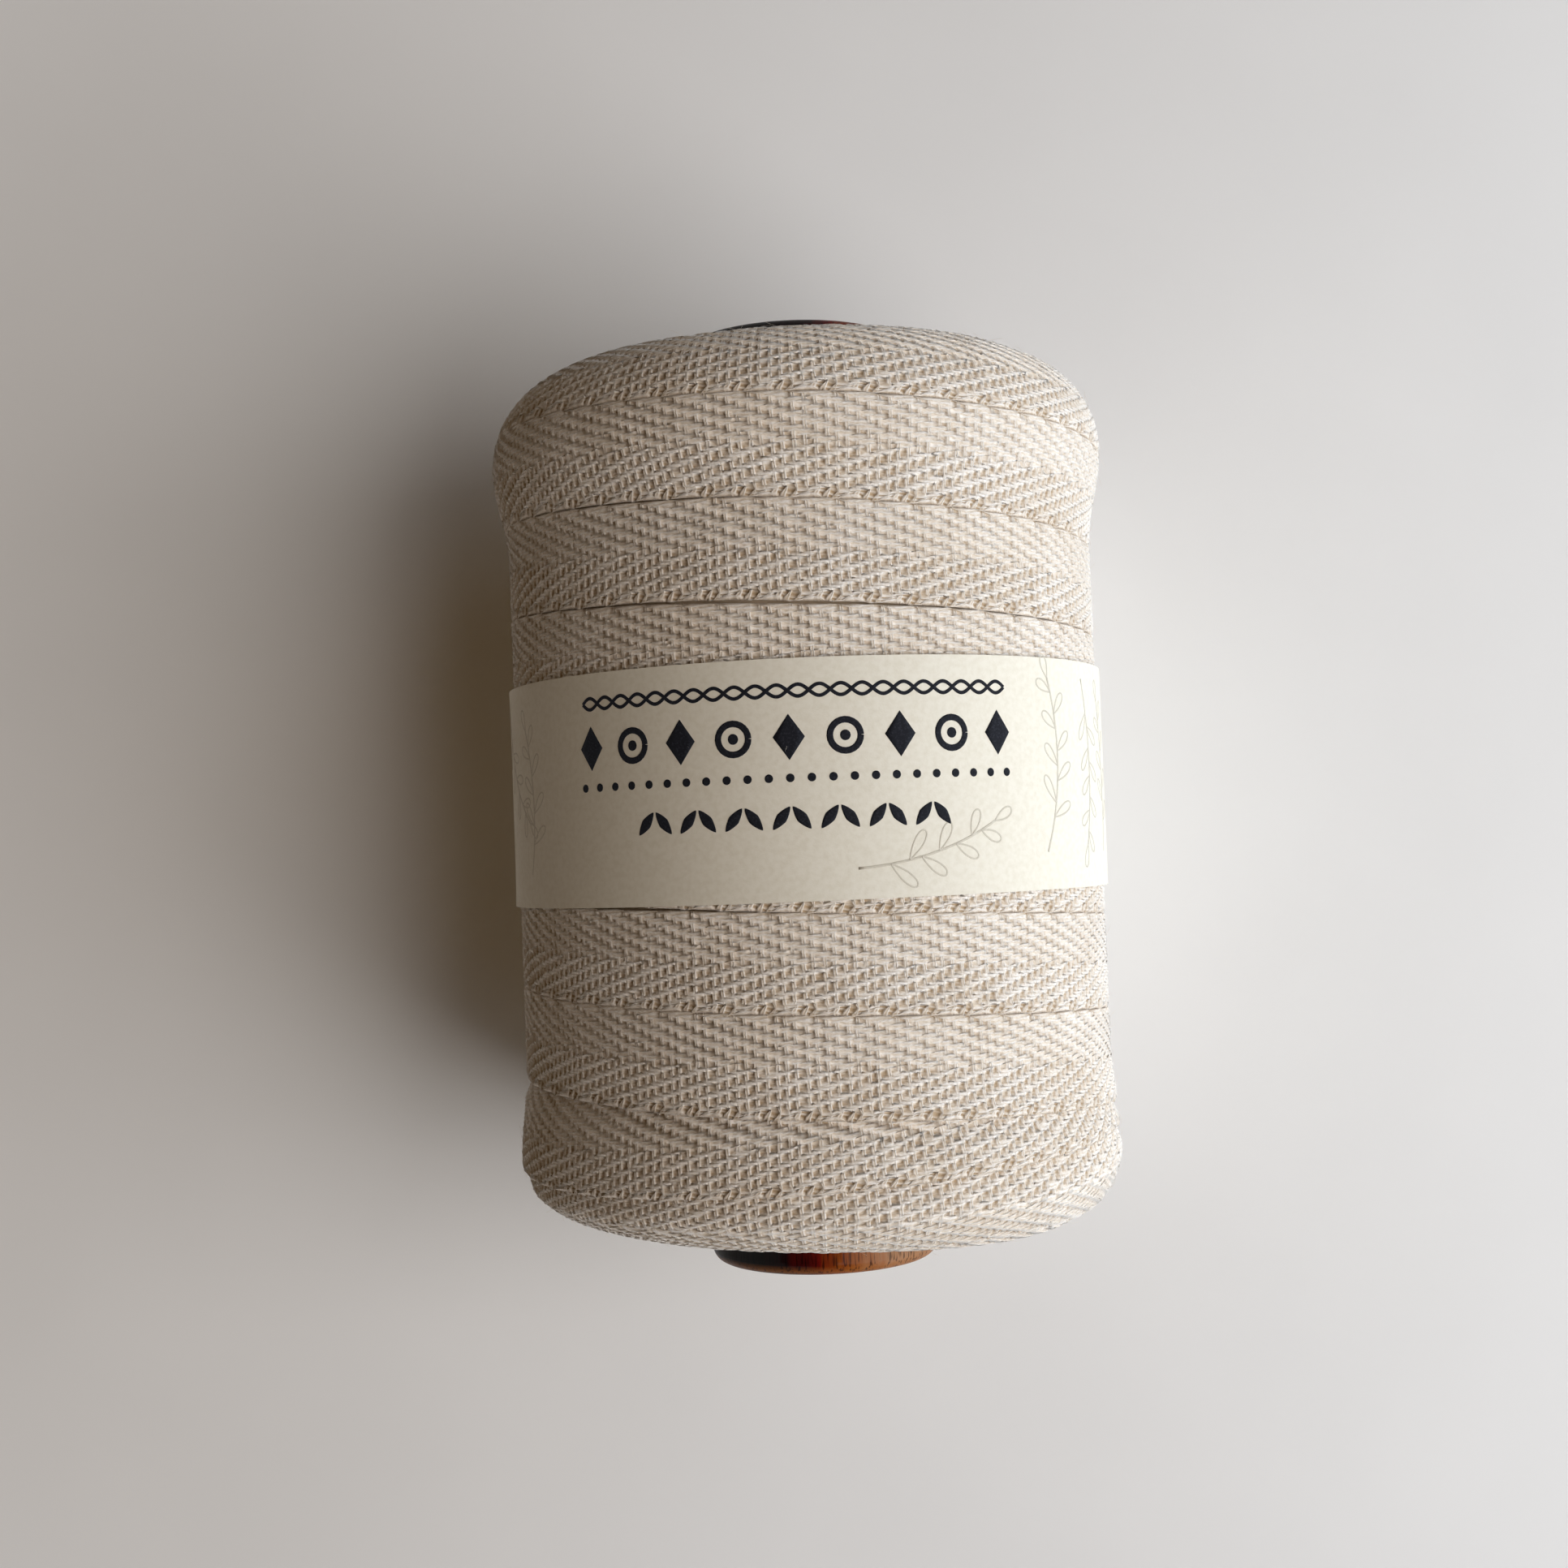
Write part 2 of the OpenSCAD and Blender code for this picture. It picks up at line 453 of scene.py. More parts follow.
        # Painted shade on the side away from the lamps and painted light on the side towards them.
        shade_and_stain_place = add_node(
            tree, "ShaderNodeMapRange",
            {
                "Value": axes["X"], "From Min": -self.side_shade_span * MM, "From Max": self.side_shade_span * MM,
                "To Min": self.depths[0], "To Max": self.depths[1],
            },
        ).outputs[0]
        # Darker towards the far end.
        far_darkening = add_node(
            tree, "ShaderNodeMapRange",
            {
                "Value": axes["Y"], "From Min": 0.0, "From Max": self.half_length * MM,
                "To Max": -self.far_darkening_amount,
            },
        ).outputs[0]
        shade_and_stain_place = add_node(tree, "ShaderNodeMath", {0: shade_and_stain_place, 1: far_darkening}, operation="ADD").outputs[0]
        for noise in ("grain", "patch"):
            shade_and_stain_place = add_node(
                tree, "ShaderNodeMath", {0: noises[noise], 1: self.uneven, 2: shade_and_stain_place},
                operation="MULTIPLY_ADD",
            ).outputs[0]
        return shade_and_stain_place

    def painted_rim_highlight(self, tree: Tree, axes: bpy.types.NodeOutputs) -> Socket:
        """Adds a painted highlight on the near rim's rounded edge: both far out along the spool and far
        out from its axis.

        Args:
            tree: Node tree that takes the nodes.
            axes: Place on the spool, from the middle of its axis.

        Returns:
            The share of the painted highlight.
        """
        flat = add_node(tree, "ShaderNodeCombineXYZ", {0: axes["X"], 2: axes["Z"]}).outputs[0]
        radius = add_node(tree, "ShaderNodeVectorMath", {0: flat}, operation="LENGTH").outputs["Value"]
        reach = add_node(tree, "ShaderNodeMath", {0: axes["Y"], 1: -1.0}, operation="MULTIPLY").outputs[0]
        rim_lit = self.rim_highlight_share
        for value, size in ((radius, self.collar_radius), (reach, self.half_length)):
            near = add_node(
                tree, "ShaderNodeMapRange",
                {
                    "Value": value, "From Min": (size - self.rim) * MM,
                    "From Max": (size - self.rim / 3) * MM,
                },
            )
            rim_lit = add_node(
                tree, "ShaderNodeMath", {0: rim_lit, 1: near.outputs[0]}, operation="MULTIPLY",
            ).outputs[0]
        return rim_lit


@dataclass(frozen=True)
class UncoatedPaper(Finish):
    """Cream text paper, uncoated: matt, faintly mottled, with its fibres just felt."""

    name: str = "uncoated_cream_paper"
    roughness: float = 0.88
    tones: Stops = ((0.3, "#e6e1d2"), (0.62, "#ede9dc"))
    mottle: float = 0.55
    fibre: float = 0.16
    fibre_height: float = 0.012

    def build(self) -> bpy.types.Material:
        """Builds the material, with a mottle and a finer fibre grain.

        Returns:
            The material.
        """
        material, tree, shader = self.start(Specular_IOR_Level=0.25)
        place = add_node(tree, "ShaderNodeTexCoord").outputs["Object"]
        mottle, fibre = (
            add_node(
                tree, "ShaderNodeTexNoise", {"Vector": place, "Scale": 1 / (size * MM), "Detail": detail},
            ).outputs["Fac"]
            for size, detail in ((self.mottle, 3.0), (self.fibre, 2.0))
        )
        colour = add_node(tree, "ShaderNodeValToRGB", {"Fac": mottle}, self.tones).outputs["Color"]
        tree.links.new(colour, shader.inputs["Base Color"])
        both = add_node(tree, "ShaderNodeMath", {0: mottle, 1: fibre}, operation="ADD").outputs[0]
        bump = add_node(
            tree, "ShaderNodeBump", {"Height": both, "Strength": 0.7, "Distance": self.fibre_height * MM},
        )
        tree.links.new(bump.outputs[0], shader.inputs["Normal"])
        return material


@dataclass(frozen=True)
class PrintingInk(Finish):
    """Ink printed on uncoated paper: it soaks in, so it is matt and a little uneven."""

    name: str = "printing_ink"
    roughness: float = 0.8
    tones: Stops = ((0.5, "#15171f"), (0.75, "#2b2d36"))
    speck: float = 0.2

    def build(self) -> bpy.types.Material:
        """Builds the material, paler where the paper's grain took less ink.

        Returns:
            The material.
        """
        material, tree, shader = self.start(Specular_IOR_Level=0.2)
        place = add_node(tree, "ShaderNodeTexCoord").outputs["Object"]
        speck = add_node(
            tree, "ShaderNodeTexNoise", {"Vector": place, "Scale": 1 / (self.speck * MM), "Detail": 2.0},
        ).outputs["Fac"]
        colour = add_node(tree, "ShaderNodeValToRGB", {"Fac": speck}, self.tones).outputs["Color"]
        tree.links.new(colour, shader.inputs["Base Color"])
        return material


def seen_directly(tree: Tree) -> Socket:
    """Adds a test of the kind of ray that meets a material.

    Args:
        tree: Node tree that takes the nodes.

    Returns:
        1 for rays from the camera, a mirror or glass, and 0 for light.
    """
    ray = add_node(tree, "ShaderNodeLightPath").outputs
    seen = ray["Is Camera Ray"]
    for kind in ("Is Glossy Ray", "Is Transmission Ray"):
        seen = add_node(tree, "ShaderNodeMath", {0: seen, 1: ray[kind]}, operation="MAXIMUM").outputs[0]
    return seen


@dataclass(frozen=True)
class PaintedBoard(Finish):
    """Smooth matt white board that the spool lies on. It is lit round the spool, and plain far off."""

    name: str = "matt_white_board"
    roughness: float = 0.9
    tones: Stops = ((0.3, "#ededed"), (0.7, "#f0f0f0"))
    far_tone: str = "#dcdad8"
    lit_radius: float = 110.0
    plain_radius: float = 300.0

    def build(self) -> bpy.types.Material:
        """Builds the material with a very slight unevenness.

        Returns:
            The material.
        """
        material, tree, shader = self.start(Specular_IOR_Level=0.1)
        place = add_node(tree, "ShaderNodeTexCoord").outputs["Object"]
        cloud = add_node(tree, "ShaderNodeTexNoise", {"Vector": place, "Scale": 30.0}).outputs["Fac"]
        colour = add_node(tree, "ShaderNodeValToRGB", {"Fac": cloud}, self.tones).outputs["Color"]
        tree.links.new(colour, shader.inputs["Base Color"])
        distance = add_node(tree, "ShaderNodeVectorMath", {0: place}, operation="LENGTH").outputs["Value"]
        far = add_node(
            tree, "ShaderNodeMapRange",
            {"Value": distance, "From Min": self.lit_radius * MM, "From Max": self.plain_radius * MM},
            interpolation_type="SMOOTHSTEP",
        ).outputs[0]
        share = add_node(
            tree, "ShaderNodeMath", {0: far, 1: seen_directly(tree)}, operation="MULTIPLY",
        ).outputs[0]
        plain = add_node(tree, "ShaderNodeEmission", {"Color": linear(self.far_tone), "Strength": 1.0})
        mix = add_node(
            tree, "ShaderNodeMixShader", {0: share, 1: shader.outputs[0], 2: plain.outputs[0]},
        )
        tree.links.new(mix.outputs[0], tree.nodes["Material Output"].inputs["Surface"])
        return material


@dataclass(frozen=True)
class PaleBackdrop(Finish):
    """Plain pale wall far behind the board, which light passes through."""

    name: str = "pale_backdrop"
    roughness: float = 0.9
    tone: str = "#dcdad8"

    def build(self) -> bpy.types.Material:
        """Builds the material: the plain tone where it is seen, and clear to light.

        Returns:
            The material.
        """
        material, tree, _ = self.start()
        plain = add_node(tree, "ShaderNodeEmission", {"Color": linear(self.tone), "Strength": 1.0})
        clear = add_node(tree, "ShaderNodeBsdfTransparent")
        mix = add_node(
            tree, "ShaderNodeMixShader",
            {0: seen_directly(tree), 1: clear.outputs[0], 2: plain.outputs[0]},
        )
        tree.links.new(mix.outputs[0], tree.nodes["Material Output"].inputs["Surface"])
        return material


# ---------------------------------------------------------------- mesh helpers


def clear_selection() -> None:
    """Deselects every object and leaves edit mode, before a new piece is begun."""
    if bpy.context.object and bpy.context.object.mode != "OBJECT":
        bpy.ops.object.mode_set(mode="OBJECT")
    bpy.ops.object.select_all(action="DESELECT")


def corner_vertices(mesh: bpy.types.Mesh) -> Array:
    """Lists the vertex at each corner of a mesh's faces.

    Args:
        mesh: The mesh.

    Returns:
        Numbers of the vertices.
    """
    corners = np.empty(len(mesh.loops), dtype=np.int32)
    mesh.loops.foreach_get("vertex_index", corners)
    return corners


def new_grid(name: str, columns: int, rows: int) -> tuple[bpy.types.Object, Array, Array]:
    """Adds a flat grid and says which column and row each of its vertices is in.

    Args:
        name: Name of the piece.
        columns: Vertices along the piece.
        rows: Vertices across it.

    Returns:
        The object, the column of each vertex and the row of each vertex.
    """
    clear_selection()
    bpy.ops.mesh.primitive_grid_add(x_subdivisions=columns - 1, y_subdivisions=rows - 1, size=1)
    piece = bpy.context.object
    piece.name = piece.data.name = name
    flat = np.empty(len(piece.data.vertices) * 3)
    piece.data.vertices.foreach_get("co", flat)
    flat = flat.reshape(-1, 3)
    column = np.rint((flat[:, 0] + 0.5) * (columns - 1)).astype(int)
    row = np.rint((flat[:, 1] + 0.5) * (rows - 1)).astype(int)
    return piece, column, row


def new_parts(
    name: str, columns: int, rows: int, parts: int,
) -> tuple[bpy.types.Object, Array, Array, Array]:
    """Adds many small grids as one object, by cutting one grid into bands of rows.

    Args:
        name: Name of the piece.
        columns: Vertices along each part.
        rows: Vertices across each part.
        parts: Number of parts.

    Returns:
        The object, and the column, the row and the part of each vertex.
    """
    piece, column, row = new_grid(name, columns, rows * parts)
    part = row // rows
    around = part[corner_vertices(piece.data)].reshape(-1, 4)
    linking = around.min(axis=1) != around.max(axis=1)
    bpy.ops.object.mode_set(mode="EDIT")
    bpy.ops.mesh.select_mode(type="FACE")
    bpy.ops.object.mode_set(mode="OBJECT")
    piece.data.polygons.foreach_set("select", linking)
    bpy.ops.object.mode_set(mode="EDIT")
    bpy.ops.mesh.delete(type="ONLY_FACE")
    bpy.ops.mesh.select_mode(type="VERT")
    bpy.ops.object.mode_set(mode="OBJECT")
    return piece, column, row % rows, part


def close_mesh(piece: bpy.types.Object, fill: bool = True) -> None:
    """Merges vertices that meet, fills what is still open and turns the faces outwards.

    Args:
        piece: Not used; the operators work on the active object, which must be this mesh.
        fill: Whether open ends are filled.
    """
    bpy.ops.object.mode_set(mode="EDIT")
    bpy.ops.mesh.select_all(action="SELECT")
    bpy.ops.mesh.delete_loose(use_edges=True)
    bpy.ops.mesh.select_all(action="SELECT")
    bpy.ops.mesh.remove_doubles(threshold=MERGE_DISTANCE)
    if fill:
        bpy.ops.mesh.fill_holes(sides=0)
    bpy.ops.mesh.select_all(action="SELECT")
    bpy.ops.mesh.normals_make_consistent(inside=False)
    bpy.ops.object.mode_set(mode="OBJECT")
    bpy.ops.object.shade_smooth()


def move_vertices(piece: bpy.types.Object, places: Array) -> None:
    """Puts the vertices of a piece at new places, given as rows of x, y, z in metres."""
    piece.data.vertices.foreach_set("co", places.astype(np.float32).ravel())
    piece.data.update()


def dress(piece: bpy.types.Object, material: bpy.types.Material, body: Body) -> None:
    """Gives a finished piece its finish and the body that it rides on.

    Args:
        piece: Finished mesh object.
        material: Its finish.
        body: Body that carries it.
    """
    piece.data.materials.clear()
    piece.data.materials.append(material)
    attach(piece, body.value)
    log.info("%s: %d faces, on %s", piece.name, len(piece.data.polygons), body.value)


# ---------------------------------------------------------------- the bundle's form


@dataclass(frozen=True)
class Shoulder:
    """One end of the bundle: where its round shoulder starts, and how it bulges and crowns.

    lean raises the bulge along the top line. skew draws the end out at the right and in at the left.
    """

    start: float
    radius: float
    rise: float
    lean: float
    crown: float
    skew: float


@dataclass(frozen=True)
class BundleForm:
    """Outside of the wound tape: a waist, a bulge near each end, round shoulders and flat ends.

    A spot on it is given by run, the length along the surface from the spool's middle, and by
    the angle about the axis. The far bulge leans up, because the bundle's weight presses it flat.
    """

    axis_height: float
    collar_radius: float
    waist_radius: float = 31.1
    bulge_run: float = 10.0
    far: Shoulder = Shoulder(start=35.45, radius=9.5, rise=1.35, lean=0.65, crown=0.5, skew=0.0)
    near: Shoulder = Shoulder(start=37.15, radius=6.9, rise=0.8, lean=0.0, crown=0.15, skew=1.1)

    def face_run(self, side: Side, radius: float) -> float:
        """Returns the run at which an end face has the given radius, taken on its side lines."""
        end = self.far if side is Side.FAR else self.near
        return end.start + end.radius * (math.pi / 2 - 1) + self.waist_radius + end.rise - radius

    def place(self, run: Array, angle: Array, depth: Array) -> Array:
        """Finds where spots on or under the surface are.

        Args:
            run: Lengths along the surface, positive towards the far end.
            angle: Angles about the axis.
            depth: Depths under the surface.

        Returns:
            Rows of x, y, z in metres.
        """
        start, curve, rise, lean, crown, skew = (
            np.where(run > 0, getattr(self.far, size), getattr(self.near, size))
            for size in ("start", "radius", "rise", "lean", "crown", "skew")
        )
        reach = np.abs(run)
        climb = np.clip((reach - start + self.bulge_run) / self.bulge_run, 0, 1)
        past = np.maximum(reach - start, 0)
        bend = np.minimum(past / curve, math.pi / 2)
        beyond = np.maximum(past - curve * math.pi / 2, 0)
        rise = (rise + lean * np.cos(angle)) * (1 - np.cos(np.pi * climb)) / 2
        centre = self.waist_radius + rise - curve
        radius = centre + (curve - depth) * np.cos(bend) - beyond
        flat = centre - self.collar_radius
        swell = crown * (1 - (1 - np.clip(beyond / flat, 0, 1)) ** 2)
        swell = swell + skew * np.sin(angle) * np.sin(bend)
        along = np.minimum(reach, start) + (curve - depth) * np.sin(bend) + swell
        height = np.maximum(self.axis_height + radius * np.cos(angle), 0)
        return np.stack([radius * np.sin(angle), np.sign(run) * along, height], axis=-1) * MM


# ---------------------------------------------------------------- the weave


@dataclass(frozen=True)
class Cloth:
    """Upper surface of a stretch of tape, with a row for each line of vertices along it.

    along and flat_along are counted in picks, and height is taken over the cloth's middle. weft
    is the share of weft that shows. The flat values are where the yarns would lie if straight.
    """

    along: Array
    across: Array
    height: Array
    weft: Array
    flat_along: Array
    flat_across: Array


def on_lines(values: Array) -> Array:
    """Spreads values of the warp ends to lines: the ends' own, and the lines between them.

    Args:
        values: One row for each end.

    Returns:
        One row for each line, the sides of the outermost ends among them.
    """
    lines = np.empty((2 * len(values) + 1, values.shape[1]))
    lines[0::2] = np.concatenate([values[:1], (values[1:] + values[:-1]) / 2, values[-1:]])
    lines[1::2] = values
    return lines


@dataclass(frozen=True)
class Weave:
    """Herringbone tape: a 2/2 twill that turns back at mid-width, with a chain edge at its foot.

    Warp ends run along the tape. Each pick is a pair of fine weft strands laid side by side. The
    selvage is the few ends at each edge, whose picks fan out and are squeezed between the floats.
    """

    ends: int = 30
    end_pitch: float = 0.316
    pick_pitch: float = 0.958
    strand_offset: float = 0.13
    pick_half: float = 0.255
    float_drive: float = 1.8
    float_trim: float = 0.08
    chain_level: float = 0.55
    chain_swing: float = 0.45
    warp_crimp: float = 0.095
    warp_crown: float = 0.055
    plunge: float = 0.05
    valley: float = 0.075
    flank_lift: float = 0.7
    weft_dip: float = 0.5
    weft_crimp: float = 0.05
    weft_blend: float = 0.08
    strand_crown: float = 0.05
    strand_gap: float = -0.01
    hollow: float = 0.22
    lean: tuple[float, float] = (0.16, 0.17)
    swell: tuple[float, float] = (0.1, -0.12)
    strand_lean: float = 0.05
    slub: float = 0.022
    slub_picks: int = 3
    float_noise: float = 0.16
    pick_noise: float = 0.045
    end_wander: float = 0.018
    selvage_ends: int = 2
    selvage_step: float = 0.55
    selvage_lean: float = 0.09
    selvage_valley: float = 0.17
    selvage_slant: float = 0.2
    selvage_spread: float = 0.6
    selvage_squeeze: float = 0.14
    slant_profile: Rows = ((0, 0.3, 1.25, 1.7), (0, -1, 1, 0))
    squeeze_profile: Rows = ((0, 0.3, 1.1, 1.6), (0, 1, 1, 0))
    foot_depth: float = 0.85
    edge_drop: float = 0.16
    edge_round: float = 0.22
    edge_tuck: float = 0.12
    thickness: float = 0.6

    @property
    def width(self) -> float:
        """Full width of the tape."""
        return self.ends * self.end_pitch

    @property
    def top(self) -> float:
        """Height of the highest yarn over the middle of the cloth."""
        return self.warp_crimp + self.warp_crown

    def columns(self, picks: int) -> tuple[Array, Array]:
        """Places along the tape where its surface is modelled, five to a pick.

        Args:
            picks: Number of picks.

        Returns:
            Places counted in picks, and the height of a weft strand's surface at each.
        """
        edge, strand = self.pick_half, self.strand_offset
        offsets = np.array([-edge, -strand, 0, strand, edge])
        low, crown = -self.hollow, self.strand_crown
        heights = np.array([low, crown, self.strand_gap, crown, low])
        along = (np.arange(picks)[:, None] + 0.5 + offsets / self.pick_pitch).ravel()
        along = np.concatenate([[0.0], along, [float(picks)]])
        return along, np.concatenate([[low], np.tile(heights, picks), [low]])

    def step(self, end: Array) -> Array:
        """Works out by how many picks the twill's float is moved at each warp end.

        Args:
            end: Warp ends, counted from the chain edge.

        Returns:
            The moves, which rise to mid-width and fall from there.
        """
        foot, head = self.selvage_ends, self.ends - self.selvage_ends
        lower = np.maximum(end, foot + self.selvage_step * (end - foot))
        upper = self.ends + 1 - np.minimum(end, head + self.selvage_step * (end - head))
        return np.where(end < self.ends // 2, lower, upper)

    def unevenness(self, random: np.random.Generator, along: Array, end_count: int) -> Array:
        """Draws smooth random values along each end.

        Args:
            random: Source of the values.
            along: Places along the tape, in picks.
            end_count: Number of ends.

        Returns:
            One row for each end.
        """
        picks = int(along[-1])
        knots = np.linspace(0, picks, picks // self.slub_picks + 3)
        values = random.normal(0, 1, (end_count, len(knots)))
        return np.stack([np.interp(along, knots, row) for row in values])

    def floats(self, ends: Array, along: Array, play: Array, flipped: bool) -> tuple[Array, Array]:
        """Works out where the warp ends float over the weft and where they dive under it.

        Args:
            ends: Warp ends, counted from the chain edge.
            along: Places along the tape, in picks.
            play: Unevenness of the floats.
            flipped: Whether the twill's ribs run the other way.

        Returns:
            How far over the weft each end lies, from -1 to 1, and how steeply it dives.
        """
        moved = self.step(ends)[:, None] * (-1 if flipped else 1)
        wave = TURN / 4 * (along[None, :] - 1 - moved) + self.float_noise * play
        over = np.clip(self.float_drive * np.cos(wave) - self.float_trim, -1, 1)
        chain = ((ends == 0) | (ends == self.ends - 1))[:, None]
        over = np.where(chain, self.chain_level + self.chain_swing * over, over)
        foot = (ends <= self.selvage_ends)[:, None]
        over = np.where(foot, np.maximum(np.cos(wave), self.foot_depth * over), over)
        return over, np.sin(wave)

    def heights(
        self, over: Array, crossing: Array, strand: Array, play: Array, at_edge: bool,
    ) -> tuple[Array, Array]:
        """Models the surfaces of the warp and of the weft.

        A floating end bulges over its hidden neighbour, and the weft dips early to pass under it.

        Args:
            over: How far over the weft each end lies.
            crossing: How far each end lies over or under the next, for the lines between them.
            strand: Heights of the weft strands along the tape.
            play: Unevenness of the ends' thickness.
            at_edge: Whether the stretch has the chain edge.

        Returns:
            Heights of the warp and of the weft, on all lines.
        """
        warp = self.warp_crimp * over + self.warp_crown + self.slub * play
        warp -= self.plunge * np.maximum(-over, 0)
        warp = on_lines(warp)
        warp[0::2] -= self.valley * (1 - self.flank_lift * crossing)
        warp[2:2 * self.selvage_ends + 1:2] -= self.selvage_valley * at_edge
        dip = on_lines(over)
        dip[0::2] += self.weft_dip * crossing
        return warp, -self.weft_crimp * dip + strand

    def slant(self, line: Array, along: Array, swing: Array, rising: Array) -> Array:
        """Works out how far the picks are drawn aside along the tape.

        Args:
            line: Places of the lines across the tape.
            along: Places along it, in picks.
            swing: How steeply each end dives.
            rising: Which ends are in the half whose ribs rise.

        Returns:
            Lengths along the tape, on all lines.
        """
        tilt = np.where(rising, -self.strand_lean, self.strand_lean) * swing
        place = line / (self.selvage_ends * self.end_pitch)
        strand_side = np.clip((along % 1 - 0.5) * self.pick_pitch / self.strand_offset, -1, 1)[None, :]
        fan = self.selvage_slant * (1 - self.selvage_spread * strand_side)
        squeeze = self.selvage_squeeze * np.interp(place, *self.squeeze_profile)
        slant = on_lines(tilt) + fan * np.interp(place, *self.slant_profile)
        return slant + squeeze * on_lines(swing)

    def surface(self, first_end: int, end_count: int, picks: int, seed: int, flipped: bool) -> Cloth:
        """Models the cloth's upper surface over some of its warp ends.

        Args:
            first_end: Lowest warp end, counted from the chain edge.
            end_count: Number of warp ends.
            picks: Number of picks.
            seed: Start of the yarns' unevenness.
            flipped: Whether the twill's ribs run the other way, as on the tape's back.

        Returns:
            The surface.
        """
        along, strand = self.columns(picks)
        ends = first_end + np.arange(end_count)
        line = (first_end + np.arange(2 * end_count + 1)[:, None] / 2) * self.end_pitch

        # Uneven yarns: each end and each pick is a little thicker or higher than the next
        random = np.random.default_rng(seed)
        float_play, slub_play = (self.unevenness(random, along, end_count) for _ in range(2))
        nearest = np.clip(np.floor(along).astype(int), 0, picks - 1)
        pick_height = random.normal(0, self.slub, picks)[nearest]
        pick_shift = random.normal(0, self.pick_noise, picks)[nearest]
        wander = self.end_wander * self.unevenness(random, along, end_count)

        over, swing = self.floats(ends, along, float_play, flipped)
        pad = np.zeros((1, len(along)))
        difference = np.concatenate([pad, over[:-1] - over[1:], pad])
        crossing = np.abs(difference) / 2
        warp, weft = self.heights(over, crossing, strand + pick_height, slub_play, first_end == 0)

        rising = ((ends < self.ends // 2) != flipped)[:, None]
        foot = (ends <= self.selvage_ends)[:, None]
        lean = np.where(rising, *self.lean) + np.where(foot, self.selvage_lean, 0)
        shift = on_lines(lean * swing + wander)
        shift[0::2] += np.where((line[0::2] < self.width / 2) != flipped, *self.swell) * difference
        shift[[0, -1]] = 0
        across = line + shift
        moved = along + (self.slant(line, along, swing, rising) + pick_shift) / self.pick_pitch
        moved[:, 0], moved[:, -1] = 0, picks

        margin = np.maximum(np.minimum(across, self.width - across), 0)
        return Cloth(
            along=moved,
            across=across,
            height=np.maximum(warp, weft) - self.edge_drop * np.exp(-(margin / self.edge_round) ** 2),
            weft=np.clip((weft - warp) / self.weft_blend + 0.5, 0, 1),
            flat_along=along + 0 * line,
            flat_across=line + 0 * along,
        )


@dataclass(frozen=True)
class Strip:
    """One stretch of tape on the bundle, from a start angle to a stop angle.

    lower and upper give the run of the tape's two edges at an angle. cover says how deep the
    strip lies at an angle and run, where other tape passes over it.
    """

    name: str
    lower: Curve
    upper: Curve
    picks: int
    start: float = -math.pi
    stop: float = math.pi
    first_end: int = 0
    end_count: int = 30
    cover: Callable[[Array, Array], Array] | None = None
    closed: bool = False
    flipped: bool = False
    seed: int = 0


@dataclass(frozen=True)
class StripMaker:
    """Models strips of woven tape: the form that they lie on, and the weave that they have."""

    form: BundleForm
    weave: Weave

    def build(self, strip: Strip) -> bpy.types.Object:
        """Models a strip as a closed mesh: a woven face, two edges and a plain back.

        Args:
            strip: The stretch of tape.

        Returns:
            The mesh object, with its map and its two attributes.
        """
        weave = self.weave
        cloth = weave.surface(strip.first_end, strip.end_count, strip.picks, strip.seed, strip.flipped)
        low = strip.first_end * weave.end_pitch
        high = low + strip.end_count * weave.end_pitch
        middle = (low + high) / 2
        back = -weave.thickness + weave.top
        line = np.ones((1, cloth.along.shape[1]))
        plain = cloth.flat_along[:1]

        def stack(first: list[float], face: Array, last: list[float]) -> Array:
            """Joins the plain lines of one side, the woven face and those of the other side."""
            sides = [[value * line for value in values] for values in (first, last)]
            return np.concatenate(sides[0] + [face] + sides[1])

        across = stack([middle, low + weave.edge_tuck], cloth.across, [high - weave.edge_tuck, middle])
        height = stack([back, back], cloth.height, [back, back])
        weft = stack([0, 0], cloth.weft, [0, 0])
        along = np.concatenate([plain] * 2 + [cloth.along] + [plain] * 2)
        flat_along = np.concatenate([plain] * 2 + [cloth.flat_along] + [plain] * 2)
        flat_across = stack([middle, low], cloth.flat_across, [high, middle])

        angle = strip.start + (strip.stop - strip.start) * along / strip.picks
        share = (across - low) / (high - low)
        run = strip.lower(angle) * (1 - share) + strip.upper(angle) * share
        depth = weave.top - height
        if strip.cover:
            depth = depth + strip.cover(angle, run)
        places = self.form.place(run, angle, depth)

        piece, column, row = new_grid(strip.name, along.shape[1], along.shape[0])
        move_vertices(piece, places[row, column])
        spots = np.stack([flat_along * weave.pick_pitch, flat_across], axis=-1)
        self.add_maps(piece, spots[row, column], height[row, column], weft[row, column])
        close_mesh(piece, fill=not strip.closed)
        return piece

    def add_maps(self, piece: bpy.types.Object, spots: Array, height: Array, weft: Array) -> None:
        """Writes the map along the tape, in mm, and the attributes that its finish reads.

        Args:
            piece: Mesh object of the strip.
            spots: Each vertex's place along and across the tape.
            height: Each vertex's height.
            weft: Each vertex's share of weft.
        """
        mesh = piece.data
        mesh.uv_layers[0].name = "tape_run"
        spots = spots[corner_vertices(mesh)]
        mesh.uv_layers["tape_run"].data.foreach_set("uv", spots.astype(np.float32).ravel())
        lowest = self.weave.warp_crown - self.weave.warp_crimp - self.weave.plunge - self.weave.valley
        shown = np.clip((height - lowest) / (self.weave.top - lowest), 0, 1)
        # yarn_height also sets the painted shade that the finish puts in the hollows.
        for name, values in (("yarn_height", shown), ("weft_share", weft)):
            layer = mesh.attributes.new(name, "FLOAT", "POINT")
            layer.data.foreach_set("value", values.astype(np.float32))


# ---------------------------------------------------------------- the winding


